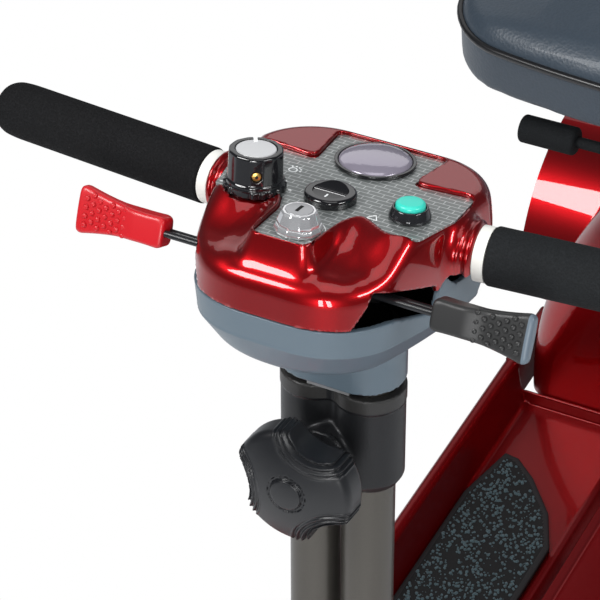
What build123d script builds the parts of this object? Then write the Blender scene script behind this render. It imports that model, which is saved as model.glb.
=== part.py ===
"""Four-wheel mobility scooter: tiller head, steering, chassis, drive, body and seat.

The scooter faces -Y and stands on z = 0. X runs across it. Millimetres throughout.
"""
from build123d import *
import os
from math import cos, sin, radians

# ---------------------------------------------------------------- driving dimensions
# Tiller head frame: the control panel's face leans back by PANEL_LEAN, the column by COLUMN_LEAN.
HEAD_Y = -471.0
HEAD_Z = 925.0
PANEL_LEAN = 14.0
COLUMN_LEAN = 8.0

HEAD_HALF_WIDTH = 82.0
HEAD_FAR = 76.0
HEAD_NEAR = -96.0
HEAD_FAR_RADIUS = 50.0
HEAD_NEAR_RADIUS = 68.0
RIM_HEIGHT = 3.0
SEAM_DEPTH = 46.0
BOWL_DEPTH = 84.0
SHELL_WALL = 3.5
TOP_ROUND = 8.0
NOSE_HALF_WIDTH = 25.0
SHOULDER_BACK = -36.0
SHOULDER_FRONT = -90.0
SHOULDER_DEPTH = 19.0
PANEL_THICKNESS = 1.2
ROOF_DEPTH = 6.0

BAR_RADIUS = 12.5
BAR_WALL = 2.0
BAR_SETBACK = 6.0
BAR_DEPTH = 22.0
BAR_BEND_X = 80.0
BAR_SWEEP = 6.0
BAR_BOSS_RADIUS = 19.5
BAR_BOSS_END = 89.0
BUSH_RADIUS = 17.4
BUSH_START = 9.5
BUSH_END = 17.0
GRIP_RADIUS = 18.4
GRIP_LENGTH = 166.0

LEVER_SETBACK = -56.0
LEVER_DEPTH = 33.0
LEVER_TILT = 15.0
LEVER_HUB_RADIUS = 9.0
LEVER_HUB_HALF = 6.5
LEVER_PIN_RADIUS = 3.0
LEVER_ROD_RADIUS = 2.2
LEVER_ROD_PITCH = 7.0
PADDLE_START = 92.0
PADDLE_END = 153.0
PADDLE_ROOT = 20.0
PADDLE_TIP = 30.0
PADDLE_THICKNESS = 8.0
SLOT_HALF_HEIGHT = 9.0
SLOT_FRONT = -26.0
SLOT_REAR = 37.0
SLOT_INNER_X = 30.0

SPEED_SENSOR_TOP = 11
KNOB_X = -46.0
KNOB_Y = -30.0
KNOB_SKIRT_RADIUS = 18.7
KNOB_BODY_RADIUS = 16.7
KNOB_HEIGHT = 26.0
KNOB_SHAFT_RADIUS = 3.0
ROCKER_Y = -19.0
ROCKER_BEZEL_RADIUS = 16.2
ROCKER_RADIUS = 10.8
ROCKER_ANGLE = 9.0
GAUGE_Y = 41.0
GAUGE_RADIUS = 24.3
HORN_X = 51.0
HORN_Y = -14.0
HORN_BASE_RADIUS = 13.0
HORN_CAP_RADIUS = 9.2
HORN_TRAVEL = 2.5
KEY_X = 3.0
KEY_Y = -65.0
KEY_BASE_RADIUS = 14.3
KEY_PLUG_RADIUS = 11.3
KEY_HEIGHT = 12.5

TUBE_RADIUS = 17.5
TUBE_WALL = 2.5
TUBE_OFFSET = 19.0
TUBE_TOP = 90.0
COLLAR_TOP = 137.3
COLLAR_BOTTOM = 212.0
COLLAR_RADIUS = 23.5
NECK_HALF_WIDTH = 42.0
NECK_HALF_DEPTH = 26.0
NECK_TOP = 108.0
NECK_BOTTOM = 137.0
CLAMP_DEPTH = 183.0
CLAMP_BOSS_RADIUS = 17.0
CLAMP_BOSS_END = 44.0
CLAMP_KNOB_RADIUS = 41.0
CLAMP_KNOB_BACK = 49.0
CLAMP_KNOB_FRONT = 79.0
CLAMP_STUD_RADIUS = 5.0

TILLER_PIVOT = 640.0
TUBE_BOTTOM = TILLER_PIVOT - 38
SLOT_TOP = TUBE_BOTTOM + 10
YOKE_TOP = TUBE_BOTTOM - 42
YOKE_HALF_WIDTH = 42.0
YOKE_HALF_DEPTH = 24.0
TONGUE_HALF_WIDTH = 16.0
PIVOT_PIN_RADIUS = 6.0
STEM_RADIUS = 14.0
STEM_COLLAR_TOP = 668.0
HEAD_TUBE_TOP = 690.0
HEAD_TUBE_BOTTOM = 770.0
HEAD_TUBE_RADIUS = 22.0
PITMAN_THICKNESS = 10.0
STEER_ARM = 60.0
TRACK_ROD_RADIUS = 6.0
KINGPIN_X = 172.0
KINGPIN_RADIUS = 6.0
KNUCKLE_RADIUS = 12.0
BEAM_HALF_HEIGHT = 21.0

WHEEL_RADIUS = 115.0
TYRE_WIDTH = 70.0
RIM_RADIUS = 76.0
FRONT_WHEEL_X = 225.0
REAR_WHEEL_X = 228.0
REAR_AXLE_Y = 470.0
AXLE_RADIUS = 10.0

DECK_FRONT = -410.0
DECK_HALF_WIDTH = 223.0
LIP_HEIGHT = 150.0
FLOOR_HEIGHT = 100.0
DECK_WALL = 4.0
TUNNEL_HEIGHT = 146.0
MAT_THICKNESS = 6.0

RAIL_X = 80.0
RAIL_HALF_WIDTH = 15.0
RAIL_BOTTOM = 55.0
RAIL_TOP = 93.0
RAIL_FRONT = -672.0
RAIL_REAR = 560.0

SEAT_Y = 317.0
SEAT_HALF_WIDTH = 246.0
SEAT_DEPTH = 430.0
SEAT_BOTTOM = 535.0
SEAT_THICKNESS = 75.0
POST_Y = 352.0
POST_RADIUS = 25.0
STEM_SEAT_RADIUS = 20.0
BACK_PIVOT_Y = 545.0
BACK_PIVOT_Z = 628.0
BACK_LEAN = 14.0
BACK_HEIGHT = 395.0
BACK_HALF_WIDTH = 200.0
BACK_THICKNESS = 66.0
ARM_X = 276.0
ARM_PIVOT_Y = 480.0
ARM_PIVOT_Z = 806.0

RUNNING = 0.05          # radial clearance of a shaft in its bore
GAP = 0.3               # clearance between pieces that move past each other

# ---------------------------------------------------------------- frames
HEAD = Plane(
    origin=(0, HEAD_Y, HEAD_Z),
    x_dir=(1, 0, 0),
    z_dir=(0, sin(radians(PANEL_LEAN)), cos(radians(PANEL_LEAN))),
)
COLUMN = Plane(
    origin=(0, HEAD_Y, HEAD_Z),
    x_dir=(1, 0, 0),
    z_dir=(0, sin(radians(COLUMN_LEAN)), cos(radians(COLUMN_LEAN))),
)


def at(frame, x=0.0, y=0.0, z=0.0):
    """The frame's plane moved to a point given in the frame's own coordinates."""
    return Plane(origin=frame.from_local_coords((x, y, z)), x_dir=frame.x_dir, z_dir=frame.z_dir)


def facing(frame, direction, x=0.0, y=0.0, z=0.0):
    """A plane at a point of the frame whose normal is a direction in the frame's coordinates."""
    dx, dy, dz = direction
    normal = frame.x_dir * dx + frame.y_dir * dy + frame.z_dir * dz
    side = frame.x_dir if abs(dx) < 0.5 else frame.y_dir
    return Plane(origin=frame.from_local_coords((x, y, z)), x_dir=side, z_dir=normal)


LEVER = facing(
    HEAD,
    (0, sin(radians(LEVER_TILT)), cos(radians(LEVER_TILT))),
    y=LEVER_SETBACK,
    z=-LEVER_DEPTH,
)
KNOB_AXIS = facing(COLUMN, (0, -1, 0), z=-CLAMP_DEPTH)
BACK = Plane(
    origin=(0, BACK_PIVOT_Y, BACK_PIVOT_Z),
    x_dir=(1, 0, 0),
    z_dir=(0, sin(radians(BACK_LEAN)), cos(radians(BACK_LEAN))),
)
WHEEL_DEPTH = (HEAD_Z - WHEEL_RADIUS) / cos(radians(COLUMN_LEAN))
BEAM_TOP = WHEEL_DEPTH - BEAM_HALF_HEIGHT
BEAM_BOTTOM = WHEEL_DEPTH + BEAM_HALF_HEIGHT
TRACK_ROD_DEPTH = WHEEL_DEPTH - 15
PITMAN_TOP = TRACK_ROD_DEPTH - PITMAN_THICKNESS - 9
FRONT_AXLE_Y = HEAD_Y - WHEEL_DEPTH * sin(radians(COLUMN_LEAN))

pieces = {}


def bar_plane(side, along=0.0):
    """Plane square to one swept end of the handlebar, a distance out from its bend."""
    sweep = radians(BAR_SWEEP)
    start = Vector(side * BAR_BEND_X, BAR_SETBACK, -BAR_DEPTH)
    reach = Vector(side * cos(sweep), sin(sweep), 0) * along
    point = start + reach
    return facing(HEAD, (side * cos(sweep), sin(sweep), 0), point.X, point.Y, point.Z)


def head_outline(plane, half_width, far, near, far_radius, near_radius):
    """Rounded plan outline of the tiller head on one level."""
    with BuildSketch(plane) as plan:
        with Locations((0, (far + near) / 2)):
            Rectangle(2 * half_width, far - near)
        fillet(plan.vertices().sort_by(Axis.Y)[:2], near_radius)
        fillet(plan.vertices().sort_by(Axis.Y)[-2:], far_radius)
    return plan.sketch


# ---------------------------------------------------------------- tiller head: outer form
PANEL_CUTS = [
    (KNOB_X, KNOB_Y, KNOB_SHAFT_RADIUS + RUNNING),
    (0, ROCKER_Y, 10.1),
    (0, GAUGE_Y, GAUGE_RADIUS + GAP),
    (HORN_X, HORN_Y, 6.8),
    (KEY_X, KEY_Y, 9.3),
]

with BuildPart() as head_form:
    loft(
        sections=[
            head_outline(at(HEAD, z=-SEAM_DEPTH), HEAD_HALF_WIDTH, HEAD_FAR - 1, HEAD_NEAR,
                         HEAD_FAR_RADIUS, HEAD_NEAR_RADIUS),
            head_outline(at(HEAD, z=-SEAM_DEPTH / 2), HEAD_HALF_WIDTH + 1, HEAD_FAR, HEAD_NEAR - 1,
                         HEAD_FAR_RADIUS, HEAD_NEAR_RADIUS),
            head_outline(at(HEAD, z=RIM_HEIGHT), HEAD_HALF_WIDTH - 4, HEAD_FAR - 4, HEAD_NEAR + 7,
                         HEAD_FAR_RADIUS - 2, HEAD_NEAR_RADIUS - 4),
        ]
    )
    fillet(head_form.faces().sort_by(Axis(HEAD.origin, HEAD.z_dir))[-1].edges(), TOP_ROUND)
    # shoulders fall away to a ledge on each side of the nose that carries the key switch
    for side in (-1, 1):
        with BuildSketch(facing(HEAD, (1, 0, 0), x=side * NOSE_HALF_WIDTH)):
            with BuildLine():
                Polyline(
                    (SHOULDER_BACK, RIM_HEIGHT + 12),
                    (HEAD_NEAR - 30, RIM_HEIGHT + 12),
                    (HEAD_NEAR - 30, -SHOULDER_DEPTH),
                    (SHOULDER_FRONT, -SHOULDER_DEPTH),
                    (SHOULDER_BACK, RIM_HEIGHT),
                    close=True,
                )
            make_face()
        extrude(amount=side * 90, mode=Mode.SUBTRACT)


def panel_outline(plane, grow=0.0):
    """Four-lobed outline of the control panel; grow widens it all round."""
    with BuildSketch(plane) as label:
        with BuildLine() as half:
            Polyline((0, 67), (38, 67), (33, 25), (74, 29), (76, -4), (69, -38), (52, -45),
                     (27, -29), (20, -46), (18, -84), (0, -84))
            Line((0, -84), (0, 67))
        make_face()
        mirror(about=Plane.YZ)
        fillet([v for v in label.vertices() if abs(v.X) > 1], 4)
        if grow:
            offset(amount=grow)
    return label.sketch


def punch_panel(depth_from, depth_to):
    """Cylinders that open the places of the controls between two depths, as one private part."""
    with BuildPart() as punch:
        for x, y, radius in PANEL_CUTS:
            with BuildSketch(at(HEAD, x, y, depth_to)):
                Circle(radius)
            extrude(amount=depth_from - depth_to)
    return punch.part


def below_seam():
    """Everything under the line where the two head shells meet; it climbs to the lever slot."""
    with BuildPart() as under:
        with BuildSketch(facing(HEAD, (0, 1, 0), y=-130)):
            with BuildLine():
                Polyline((-120, -SEAM_DEPTH), (22, -SEAM_DEPTH), (50, -SEAM_DEPTH + 15),
                         (64, -SEAM_DEPTH + 15), (64, -160), (-120, -160), close=True)
            make_face()
        extrude(amount=-75)
        with BuildSketch(at(HEAD, z=-SEAM_DEPTH)):
            Rectangle(260, 260)
        extrude(amount=-120)
    return under.part


def lever_slots():
    """The two side openings that the throttle lever swings in."""
    with BuildPart() as slots:
        for side in (-1, 1):
            with BuildSketch(facing(LEVER, (1, 0, 0), x=side * SLOT_INNER_X)) as mouth:
                with Locations(((SLOT_FRONT + SLOT_REAR) / 2, 0)):
                    Rectangle(SLOT_REAR - SLOT_FRONT, 2 * SLOT_HALF_HEIGHT)
                fillet(mouth.vertices(), 6)
            extrude(amount=side * 90)
    return slots.part


def bar_bores(radius):
    """The handlebar's own path as a solid of a given radius, for its holes in the shells."""
    with BuildPart() as bores:
        for side in (-1, 1):
            with BuildSketch(bar_plane(side, -8)):
                Circle(radius)
            extrude(amount=40)
        with BuildSketch(facing(HEAD, (1, 0, 0), x=-BAR_BEND_X, y=BAR_SETBACK, z=-BAR_DEPTH)):
            Circle(radius)
        extrude(amount=2 * BAR_BEND_X)
    return bores.part


PUNCHED = punch_panel(RIM_HEIGHT + 10, -BAR_DEPTH - 18)
SLOTS = lever_slots()
UNDER = below_seam()

with BuildPart() as head_upper_shell:
    add(head_form.part)
    for side in (-1, 1):
        with BuildSketch(bar_plane(side, -8)):
            Circle(BAR_BOSS_RADIUS)
        extrude(amount=BAR_BOSS_END - BAR_BEND_X + 8)
    add(UNDER, mode=Mode.SUBTRACT)
    loft(
        sections=[
            head_outline(at(HEAD, z=-SEAM_DEPTH - 2), HEAD_HALF_WIDTH - SHELL_WALL, HEAD_FAR - 1 - SHELL_WALL,
                         HEAD_NEAR + SHELL_WALL, HEAD_FAR_RADIUS - 4, HEAD_NEAR_RADIUS - 4),
            head_outline(at(HEAD, z=-SEAM_DEPTH / 2), HEAD_HALF_WIDTH - SHELL_WALL, HEAD_FAR - SHELL_WALL - 2,
                         HEAD_NEAR + 13, HEAD_FAR_RADIUS - 4, HEAD_NEAR_RADIUS - 10),
            head_outline(at(HEAD, z=-ROOF_DEPTH - PANEL_THICKNESS), HEAD_HALF_WIDTH - 12, HEAD_FAR - 12,
                         SHOULDER_BACK + 2, HEAD_FAR_RADIUS - 12, 20),
        ],
        mode=Mode.SUBTRACT,
    )
    with BuildSketch(at(HEAD, KNOB_X, KNOB_Y, -SPEED_SENSOR_TOP)):
        Circle(12)
    extrude(amount=SPEED_SENSOR_TOP - ROOF_DEPTH)
    extrude(panel_outline(at(HEAD, z=-PANEL_THICKNESS), grow=0.4), amount=RIM_HEIGHT + 6, mode=Mode.SUBTRACT)
    with BuildSketch(at(HEAD, KNOB_X, KNOB_Y, -PANEL_THICKNESS)):
        Circle(KNOB_SKIRT_RADIUS + 0.6)
    extrude(amount=RIM_HEIGHT + 6, mode=Mode.SUBTRACT)
    add(PUNCHED, mode=Mode.SUBTRACT)
    add(SLOTS, mode=Mode.SUBTRACT)
    add(bar_bores(BAR_RADIUS + RUNNING), mode=Mode.SUBTRACT)
pieces["head_upper_shell"] = head_upper_shell

with BuildPart() as control_panel:
    extrude(panel_outline(at(HEAD, z=-PANEL_THICKNESS)), amount=PANEL_THICKNESS)
    add(PUNCHED, mode=Mode.SUBTRACT)
pieces["control_panel"] = control_panel

# ---------------------------------------------------------------- tiller head: lower shell
NECK = dict(width=2 * NECK_HALF_WIDTH, height=2 * NECK_HALF_DEPTH, radius=NECK_HALF_DEPTH - 1)


def neck_outline(depth, inset=0.0):
    """Rounded section of the neck at a depth down the column."""
    with BuildSketch(at(COLUMN, z=-depth)) as ring:
        RectangleRounded(NECK["width"] - 2 * inset, NECK["height"] - 2 * inset, NECK["radius"] - inset)
    return ring.sketch


with BuildPart() as lower_form:
    loft(
        sections=[
            head_outline(at(HEAD, z=-SEAM_DEPTH + 16), HEAD_HALF_WIDTH, HEAD_FAR - 1, HEAD_NEAR,
                         HEAD_FAR_RADIUS, HEAD_NEAR_RADIUS),
            head_outline(at(HEAD, z=-SEAM_DEPTH - 14), HEAD_HALF_WIDTH - 2, HEAD_FAR - 8, HEAD_NEAR + 3,
                         HEAD_FAR_RADIUS - 2, HEAD_NEAR_RADIUS - 2),
            head_outline(at(HEAD, z=-BOWL_DEPTH), HEAD_HALF_WIDTH - 16, HEAD_FAR - 44, HEAD_NEAR + 18,
                         HEAD_FAR_RADIUS - 8, HEAD_NEAR_RADIUS - 24),
        ]
    )
    loft(
        sections=[
            head_outline(at(HEAD, z=-BOWL_DEPTH), HEAD_HALF_WIDTH - 16, HEAD_FAR - 44, HEAD_NEAR + 18,
                         HEAD_FAR_RADIUS - 8, HEAD_NEAR_RADIUS - 24),
            neck_outline(NECK_TOP),
        ],
        ruled=True,
    )
    extrude(neck_outline(NECK_BOTTOM), amount=NECK_BOTTOM - NECK_TOP)

with BuildPart() as head_lower_shell:
    add(lower_form.part)
    add(UNDER, mode=Mode.INTERSECT)
    loft(
        sections=[
            head_outline(at(HEAD, z=-SEAM_DEPTH + 18), HEAD_HALF_WIDTH - SHELL_WALL,
                         HEAD_FAR - 1 - SHELL_WALL,
                         HEAD_NEAR + SHELL_WALL, HEAD_FAR_RADIUS - 4, HEAD_NEAR_RADIUS - 4),
            head_outline(at(HEAD, z=-SEAM_DEPTH - 14), HEAD_HALF_WIDTH - 6, HEAD_FAR - 13, HEAD_NEAR + 8,
                         HEAD_FAR_RADIUS - 6, HEAD_NEAR_RADIUS - 6),
            head_outline(at(HEAD, z=-BOWL_DEPTH + 5), HEAD_HALF_WIDTH - 20, HEAD_FAR - 48, HEAD_NEAR + 23,
                         HEAD_FAR_RADIUS - 14, HEAD_NEAR_RADIUS - 30),
        ],
        mode=Mode.SUBTRACT,
    )
    extrude(neck_outline(NECK_BOTTOM, inset=4.5), amount=NECK_BOTTOM - TUBE_TOP + 22, mode=Mode.SUBTRACT)
    add(SLOTS, mode=Mode.SUBTRACT)
    # boss on the floor of the bowl that carries the lever's sensor
    with BuildPart(mode=Mode.PRIVATE) as sensor_boss:
        with BuildSketch(at(LEVER, z=-36 - LEVER_HUB_HALF)):
            Circle(11)
        extrude(amount=-30)
        add(lower_form.part, mode=Mode.INTERSECT)
    add(sensor_boss.part)
pieces["head_lower_shell"] = head_lower_shell


# ---------------------------------------------------------------- handlebar, bushes and grips
STRAP_INNER = TUBE_RADIUS + 0.7
STRAP_THICKNESS = 3
STRAP_HALF_WIDTH = 15

with BuildPart() as handlebar:
    for side in (-1, 1):
        with BuildSketch(bar_plane(side)):
            Circle(BAR_RADIUS)
        extrude(amount=BUSH_END + GRIP_LENGTH - 6)
        with Locations(bar_plane(side)):
            Sphere(BAR_RADIUS)
    with BuildSketch(facing(HEAD, (1, 0, 0), x=-BAR_BEND_X, y=BAR_SETBACK, z=-BAR_DEPTH)):
        Circle(BAR_RADIUS)
    extrude(amount=2 * BAR_BEND_X)
    for side in (-1, 1):
        with BuildSketch(bar_plane(side, 8)):
            Circle(BAR_RADIUS - BAR_WALL)
        extrude(amount=BUSH_END + GRIP_LENGTH, mode=Mode.SUBTRACT)
    # carrier: a cross block under the bar and two straps that stand on the clamp collar
    with BuildSketch(at(COLUMN, z=-52)):
        Rectangle(2 * STRAP_HALF_WIDTH, 2 * (STRAP_INNER + STRAP_THICKNESS))
    extrude(amount=24)
    for side in (-1, 1):
        with BuildSketch(at(COLUMN, y=side * (STRAP_INNER + STRAP_THICKNESS / 2), z=-COLLAR_TOP)):
            Rectangle(2 * STRAP_HALF_WIDTH, STRAP_THICKNESS)
        extrude(amount=COLLAR_TOP - 40)
pieces["handlebar"] = handlebar

with BuildPart() as bar_bushes:
    for side in (-1, 1):
        with BuildSketch(bar_plane(side, BUSH_START)):
            Circle(BUSH_RADIUS)
            Circle(BAR_RADIUS + RUNNING, mode=Mode.SUBTRACT)
        extrude(amount=BUSH_END - BUSH_START - GAP)
pieces["bar_bushes"] = bar_bushes


def grip(side):
    """Foam grip with a rounded outer end, closed over the bar."""
    with BuildPart() as sleeve:
        with BuildSketch(bar_plane(side, BUSH_END)):
            Circle(GRIP_RADIUS)
        extrude(amount=GRIP_LENGTH)
        outer = sleeve.edges().filter_by(GeomType.CIRCLE).sort_by(Axis.X)
        fillet(outer[-1] if side > 0 else outer[0], 9)
        fillet(outer[0] if side > 0 else outer[-1], 2)
        with BuildSketch(bar_plane(side, BUSH_END)):
            Circle(BAR_RADIUS + GAP)
        extrude(amount=GRIP_LENGTH - 5, mode=Mode.SUBTRACT)
    return sleeve


pieces["grip_left"] = grip(1)
pieces["grip_right"] = grip(-1)

# ---------------------------------------------------------------- controls on the panel
KNOB = at(HEAD, KNOB_X, KNOB_Y)
with BuildPart() as speed_knob:
    with BuildSketch(at(KNOB, z=GAP)):
        Circle(KNOB_SKIRT_RADIUS)
        with PolarLocations(KNOB_SKIRT_RADIUS + 2.2, 10):
            Circle(4, mode=Mode.SUBTRACT)
    extrude(amount=5)
    with BuildSketch(at(KNOB, z=GAP + 5)):
        Circle(KNOB_BODY_RADIUS + 0.4)
    extrude(amount=2.5)
    with BuildSketch(at(KNOB, z=GAP + 7.5)):
        RegularPolygon(KNOB_BODY_RADIUS, 12)
    extrude(amount=KNOB_HEIGHT - 8.5, taper=4)
    with BuildSketch(at(KNOB, z=-SPEED_SENSOR_TOP - 8)):
        Circle(KNOB_SHAFT_RADIUS)
    extrude(amount=SPEED_SENSOR_TOP + 9)
    with BuildSketch(at(KNOB, z=KNOB_HEIGHT - 1.7)):
        Circle(11.6)
    extrude(amount=3, mode=Mode.SUBTRACT)
pieces["speed_knob"] = speed_knob

with BuildPart() as speed_knob_cap:
    with BuildSketch(at(KNOB, z=KNOB_HEIGHT - 1.6)):
        Circle(11.4)
    extrude(amount=1.2)
    chamfer(speed_knob_cap.edges().sort_by(Axis(KNOB.origin, KNOB.z_dir))[-1], 0.4)
pieces["speed_knob_cap"] = speed_knob_cap

LEVER_SENSOR_BOTTOM = 42.2
with BuildPart() as control_sensors:
    with BuildSketch(at(KNOB, z=-SPEED_SENSOR_TOP - 12)):
        Circle(11)
    extrude(amount=12 - GAP)
    with BuildSketch(at(KNOB, z=-SPEED_SENSOR_TOP - 8.5)):
        Circle(KNOB_SHAFT_RADIUS + RUNNING)
    extrude(amount=12, mode=Mode.SUBTRACT)
    with BuildSketch(at(LEVER, z=-LEVER_SENSOR_BOTTOM)):
        Circle(8.5)
    extrude(amount=LEVER_SENSOR_BOTTOM - LEVER_HUB_HALF - GAP)
    with BuildSketch(at(LEVER, z=-20)):
        Circle(LEVER_PIN_RADIUS)
    extrude(amount=20 + LEVER_HUB_HALF + 1)
pieces["control_sensors"] = control_sensors

ROCKER_PIVOT = 4.5
ROCKER_PLATE = 3.2
with BuildPart() as rocker_bezel:
    rocker_seat = at(HEAD, 0, ROCKER_Y)
    with BuildSketch(at(rocker_seat, z=GAP)):
        Circle(ROCKER_BEZEL_RADIUS)
    extrude(amount=5.6)
    fillet(rocker_bezel.edges().sort_by(Axis(HEAD.origin, HEAD.z_dir))[-1], 2.2)
    with BuildSketch(at(rocker_seat, z=0.8)):
        Circle(ROCKER_RADIUS + 0.35)
    extrude(amount=8, mode=Mode.SUBTRACT)
    with BuildSketch(at(rocker_seat, z=-24)):
        Circle(9.9)
    extrude(amount=24.5)
    with BuildSketch(facing(rocker_seat, (1, 0, 0), x=-13, z=ROCKER_PIVOT)):
        Circle(1.25)
    extrude(amount=26, mode=Mode.SUBTRACT)
pieces["rocker_bezel"] = rocker_bezel

with BuildPart() as rocker_switch:
    tipped = at(HEAD, 0, ROCKER_Y, ROCKER_PIVOT)
    tipped = facing(tipped, (0, -sin(radians(ROCKER_ANGLE)), cos(radians(ROCKER_ANGLE))))
    with BuildSketch(at(tipped, z=-ROCKER_PLATE / 2)):
        Circle(ROCKER_RADIUS)
    extrude(amount=ROCKER_PLATE)
    # dished face: each half falls towards the middle of the switch
    with BuildSketch(facing(tipped, (1, 0, 0), x=-12)):
        with BuildLine():
            ThreePointArc((-ROCKER_RADIUS, ROCKER_PLATE / 2), (0, ROCKER_PLATE / 2 - 0.9),
                          (ROCKER_RADIUS, ROCKER_PLATE / 2))
            Polyline((ROCKER_RADIUS, ROCKER_PLATE / 2), (ROCKER_RADIUS, 4), (-ROCKER_RADIUS, 4),
                     (-ROCKER_RADIUS, ROCKER_PLATE / 2))
        make_face()
    extrude(amount=24, mode=Mode.SUBTRACT)
    with BuildSketch(facing(tipped, (1, 0, 0), x=-12.8)):
        Circle(1.2)
    extrude(amount=25.6)
pieces["rocker_switch"] = rocker_switch

GAUGE_BARREL = 14
with BuildPart() as gauge_body:
    gauge_seat = at(HEAD, 0, GAUGE_Y)
    with BuildSketch(at(gauge_seat, z=-GAUGE_BARREL)):
        Circle(GAUGE_RADIUS)
    extrude(amount=GAUGE_BARREL + 1)
    with BuildSketch(at(gauge_seat, z=GAP)):
        Circle(GAUGE_RADIUS + 1.4)
    extrude(amount=2.2)
    fillet(gauge_body.edges().sort_by(Axis(HEAD.origin, HEAD.z_dir))[-1], 1)
    with BuildSketch(at(gauge_seat, z=-1)):
        Circle(GAUGE_RADIUS - 1)
    extrude(amount=5, mode=Mode.SUBTRACT)
pieces["gauge_body"] = gauge_body

LENS_RADIUS = GAUGE_RADIUS - 1.3
LENS_RISE = 3.6
LENS_SPHERE = (LENS_RADIUS ** 2 + LENS_RISE ** 2) / (2 * LENS_RISE)
with BuildPart() as gauge_lens:
    with BuildSketch(at(gauge_seat, z=-0.9)):
        Circle(LENS_RADIUS)
    extrude(amount=2.5 + LENS_RISE)
    with Locations(at(gauge_seat, z=1.6 + LENS_RISE - LENS_SPHERE)):
        Sphere(LENS_SPHERE, mode=Mode.INTERSECT)
pieces["gauge_lens"] = gauge_lens

HORN = at(HEAD, HORN_X, HORN_Y)
with BuildPart() as horn_bezel:
    with BuildSketch(at(HORN, z=GAP)):
        Circle(HORN_BASE_RADIUS)
    with BuildSketch(at(HORN, z=5.6)):
        Circle(HORN_BASE_RADIUS - 2.6)
    loft()
    with BuildSketch(at(HORN, z=1.6)):
        Circle(HORN_CAP_RADIUS + GAP)
    extrude(amount=6, mode=Mode.SUBTRACT)
    with BuildSketch(at(HORN, z=-22)):
        Circle(6.5)
    extrude(amount=22.5)
    with BuildSketch(at(HORN, z=-12)):
        Circle(2.5 + RUNNING)
    extrude(amount=15, mode=Mode.SUBTRACT)
pieces["horn_bezel"] = horn_bezel

with BuildPart() as horn_button:
    with BuildSketch(at(HORN, z=1.6 + HORN_TRAVEL + GAP)):
        Circle(HORN_CAP_RADIUS)
    extrude(amount=3.8)
    fillet(horn_button.edges().sort_by(Axis(HEAD.origin, HEAD.z_dir))[-1], 1.4)
    with BuildSketch(at(HORN, z=-9)):
        Circle(2.5)
    extrude(amount=14)
pieces["horn_button"] = horn_button

KEY = at(HEAD, KEY_X, KEY_Y)
with BuildPart() as key_housing:
    with BuildSketch(at(KEY, z=GAP)):
        Circle(KEY_BASE_RADIUS)
    extrude(amount=5.4)
    chamfer(key_housing.edges().sort_by(Axis(HEAD.origin, HEAD.z_dir))[-1], 1.2)
    with BuildSketch(at(KEY, z=-20)):
        Circle(9)
    extrude(amount=21)
    with BuildSketch(at(KEY, z=-15)):
        Circle(5 + RUNNING)
    extrude(amount=30, mode=Mode.SUBTRACT)
pieces["key_housing"] = key_housing

with BuildPart() as key_plug:
    with BuildSketch(at(KEY, z=6)):
        RegularPolygon(KEY_PLUG_RADIUS + 0.6, 12)
    extrude(amount=KEY_HEIGHT - 6, taper=5)
    with BuildSketch(at(KEY, z=-14)):
        Circle(5)
    extrude(amount=21)
    with BuildSketch(at(KEY, z=KEY_HEIGHT - 5)):
        SlotOverall(8, 2.2, rotation=90)
    extrude(amount=6, mode=Mode.SUBTRACT)
pieces["key_plug"] = key_plug

# ---------------------------------------------------------------- throttle lever
with BuildPart() as lever_arms:
    with BuildSketch(at(LEVER, z=-LEVER_HUB_HALF)):
        Circle(LEVER_HUB_RADIUS)
        Circle(LEVER_PIN_RADIUS + RUNNING, mode=Mode.SUBTRACT)
    extrude(amount=2 * LEVER_HUB_HALF)
    for side in (-1, 1):
        with BuildSketch(facing(LEVER, (1, 0, 0), x=side * (LEVER_HUB_RADIUS - 3))):
            with Locations((LEVER_ROD_PITCH / 2, 0), (-LEVER_ROD_PITCH / 2, 0)):
                Circle(LEVER_ROD_RADIUS)
        extrude(amount=side * (PADDLE_START + 24 - LEVER_HUB_RADIUS + 3))
pieces["lever_arms"] = lever_arms


def paddle(side):
    """Finger pad of the lever, wider at its tip, with the two rods let into its root."""
    with BuildPart() as pad:
        with BuildSketch(facing(LEVER, (0, -1, 0), y=PADDLE_THICKNESS / 2)) as face:
            with BuildLine():
                Polyline((side * PADDLE_START, -PADDLE_ROOT / 2), (side * PADDLE_END, -PADDLE_TIP / 2),
                         (side * PADDLE_END, PADDLE_TIP / 2), (side * PADDLE_START, PADDLE_ROOT / 2),
                         close=True)
            make_face()
            fillet(face.vertices(), 6)
        extrude(amount=PADDLE_THICKNESS)
        fillet(pad.faces().filter_by(Axis(LEVER.origin, LEVER.y_dir)).edges(), 2)
        with BuildSketch(facing(LEVER, (1, 0, 0), x=side * (PADDLE_START - 5))):
            with Locations((LEVER_ROD_PITCH / 2, 0), (-LEVER_ROD_PITCH / 2, 0)):
                Circle(LEVER_ROD_RADIUS + RUNNING)
            Rectangle(LEVER_ROD_PITCH, 2 * LEVER_ROD_RADIUS * 0.7)
        extrude(amount=side * 30, mode=Mode.SUBTRACT)
    return pad


pieces["paddle_red"] = paddle(-1)
pieces["paddle_grey"] = paddle(1)

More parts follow.
